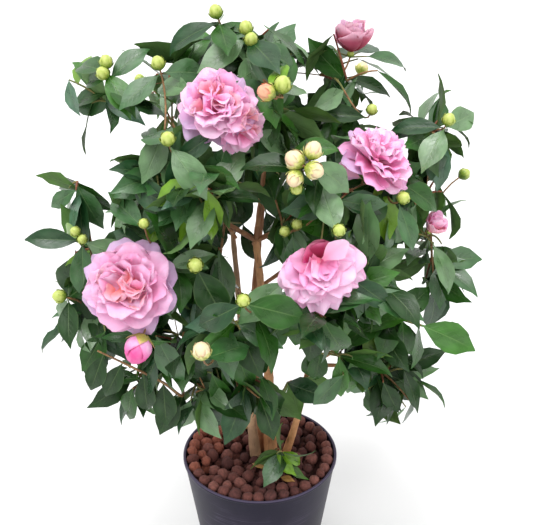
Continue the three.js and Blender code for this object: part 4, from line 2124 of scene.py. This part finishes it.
BUDS = [
    Bud(at_mm(-40, -40, 763), Vector((-0.3, -0.2, 1.0))),
    Bud(at_mm(-10, -55, 750), Vector((-0.2, -0.3, 1.0))),
    Bud(at_mm(-5, -60, 740), Vector((0.2, -0.5, 0.8))),
    Bud(at_mm(-95, -75, 720), Vector((-0.2, -0.3, 1.0))),
    Bud(at_mm(-150, -50, 716), Vector((0.1, -0.2, 1.0))),
    Bud(at_mm(-153, -56, 706), Vector((-0.3, -0.6, 0.7))),
    Bud(at_mm(25, -130, 712), Vector((0.2, -0.4, 0.9)), 18 * MM),
    Bud(at_mm(10, -135, 706), Vector((-0.8, -0.3, 0.4)), 18 * MM, BudKind.BLUSH),
    Bud(at_mm(-80, -150, 667), Vector((0.0, -0.6, 0.8))),
    Bud(at_mm(120, -30, 662), Vector((0.2, -0.4, 0.9)), 13 * MM),
    Bud(at_mm(197, -50, 657), Vector((0.2, -0.4, 0.9))),
    Bud(at_mm(36, -160, 650), Vector((-0.8, -0.1, 0.6)), 20 * MM, BudKind.CREAM),
    Bud(at_mm(53, -160, 659), Vector((0.3, 0.0, 1.0)), 18 * MM, BudKind.CREAM),
    Bud(at_mm(54, -170, 643), Vector((0.9, -0.3, -0.3)), 18 * MM, BudKind.CREAM),
    Bud(at_mm(36, -167, 634), Vector((-0.4, -0.5, -0.6)), 17 * MM, BudKind.CREAM),
    Bud(at_mm(38, -160, 622), Vector((0.1, -0.7, -0.5)), 13 * MM),
    Bud(at_mm(145, -118, 597), Vector((0.3, -0.6, 0.6)), 14 * MM),
    Bud(at_mm(76, -195, 595), Vector((0.1, -0.7, 0.6)), 13 * MM),
    Bud(at_mm(28, -125, 564), Vector((-0.6, -0.6, 0.3)), 12 * MM),
    Bud(at_mm(40, -130, 574), Vector((0.2, -0.6, 0.7)), 12 * MM),
    Bud(at_mm(-190, -85, 547), Vector((-0.4, -0.5, 0.7)), 12 * MM),
    Bud(at_mm(-183, -87, 539), Vector((0.2, -0.7, 0.5)), 12 * MM),
    Bud(at_mm(-58, -165, 546), Vector((0.1, -0.8, 0.5)), 16 * MM),
    Bud(at_mm(-212, -95, 476), Vector((-0.6, -0.5, 0.4)), 16 * MM),
    Bud(at_mm(-11, -207, 530), Vector((0.0, -0.7, 0.7)), 14 * MM),
    Bud(at_mm(-50, -222, 485), Vector((-0.1, -0.2, 1.0)), 19 * MM, BudKind.CREAM),
    Bud(at_mm(-107, -152, 584), Vector((0.0, -0.5, 0.8)), 11 * MM),
    Bud(at_mm(-117, -178, 460), Vector((-0.35, -0.5, -0.8)), 31 * MM, BudKind.ROSE),
    Bud(at_mm(-150, 160, 650), Vector((-0.5, 0.5, 0.8))),
    Bud(at_mm(-10, 220, 640), Vector((0.1, 0.6, 0.8))),
    Bud(at_mm(130, 180, 660), Vector((0.4, 0.5, 0.8)), 18 * MM, BudKind.CREAM),
    Bud(at_mm(245, 60, 560), Vector((0.8, 0.2, 0.5))),
    Bud(at_mm(190, 170, 430), Vector((0.6, 0.6, 0.3))),
]

SPRAY_BRANCH = [(-86, -96, 350), (-104, -112, 378), (-138, -122, 406), (-170, -124, 426)]

LITTER = [
    # dry scraps on the pellets
    FallenLeaf((-14, 66, 202), (4, 88, 203), 5),
    FallenLeaf((-36, 44, 202), (-12, 52, 204), 1),
    FallenLeaf((-10, -30, 202), (14, -38, 203), 3),
    FallenLeaf((26, -56, 202), (44, -66, 203)),
]

RIM_GAPS = 18
RIM_HALF_WIDTH = 0.24
RIM_HALF_HEIGHT = 0.23
RIM_MIDDLE = 0.5
FORK_LOW = 0.44
FORK_HIGH = 0.54
FORK_VIEW = 9 * MM
GAP_REACH = (0.78, 1.0)
GAP_RADII = (7, 13)
BUD_VIEW = 0.6
BUD_PASSAGE = 0.2


def passages(eye: Vector, limbs: list[Limb]) -> list[Clearing]:
    """The views kept open through the leaves, to the stems' forks and through the crown's rim.

    Args:
        eye: where the shrub is seen from.
        limbs: the stems and boughs.

    Returns:
        The passages, whose places round the rim are seeded.
    """
    stems = [point for limb in limbs if limb.node.startswith("stem") for point in limb.path]
    found = [Clearing.seen(eye, p, FORK_VIEW, PASSAGE) for p in stems if FORK_LOW < p.z < FORK_HIGH]
    chance = random.Random(f"{SEED} gaps")
    for number in range(RIM_GAPS):
        bearing = number * GOLDEN_ANGLE
        share = chance.uniform(*GAP_REACH)
        x = RIM_HALF_WIDTH * math.cos(bearing) * share
        z = RIM_MIDDLE + RIM_HALF_HEIGHT * math.sin(bearing) * share
        radius = chance.uniform(*GAP_RADII) * MM
        found.append(Clearing.seen(eye, Vector((x, 0, z)), radius, PASSAGE, PASSAGE))
    return found


def main() -> None:
    """Builds the shrub in order."""
    logging.basicConfig(level=logging.INFO, format="%(message)s")
    limbs = [Limb.of_node(n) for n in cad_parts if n.startswith(("stem_", "bough_"))]
    taken = {limb.node for limb in limbs} | {"pot", "pellet_fill"}
    masses = [Mass.of_node(n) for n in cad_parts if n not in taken]
    studio = Studio()
    clearings = passages(studio.eye, limbs)
    for bud in BUDS:
        view = Clearing.seen(studio.eye, bud.centre, bud.length * BUD_VIEW, BUD_PASSAGE)
        clearings.append(view)
    for bloom in BLOOMS:
        clearings += bloom.clearing(studio.eye)
    Bark().build(limbs)
    crown = Crown(limbs, masses, clearings)
    crown.grow()
    flowering = Flowering(BLOOMS, BUDS)
    flowering.carry(crown)
    crown.add_branch(SPRAY_BRANCH)
    heads = [(bloom.centre, bloom.facing, bloom.radius * BLOOM_RING, BLOOM_LEAVES) for bloom in BLOOMS]
    heads += [(bud.centre, bud.facing, BUD_RING, BUD_LEAVES) for bud in BUDS]
    crown.add_whorls(heads)
    for low, high, count, tints in CURTAINS:
        crown.hang_curtain(at_mm(*low), at_mm(*high), count, tints)
    crown.strew(LITTER)
    crown.build()
    flowering.build()
    Pot().build()
    Pellets().build()
    studio.build()
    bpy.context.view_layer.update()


if __name__ == "__main__":
    main()
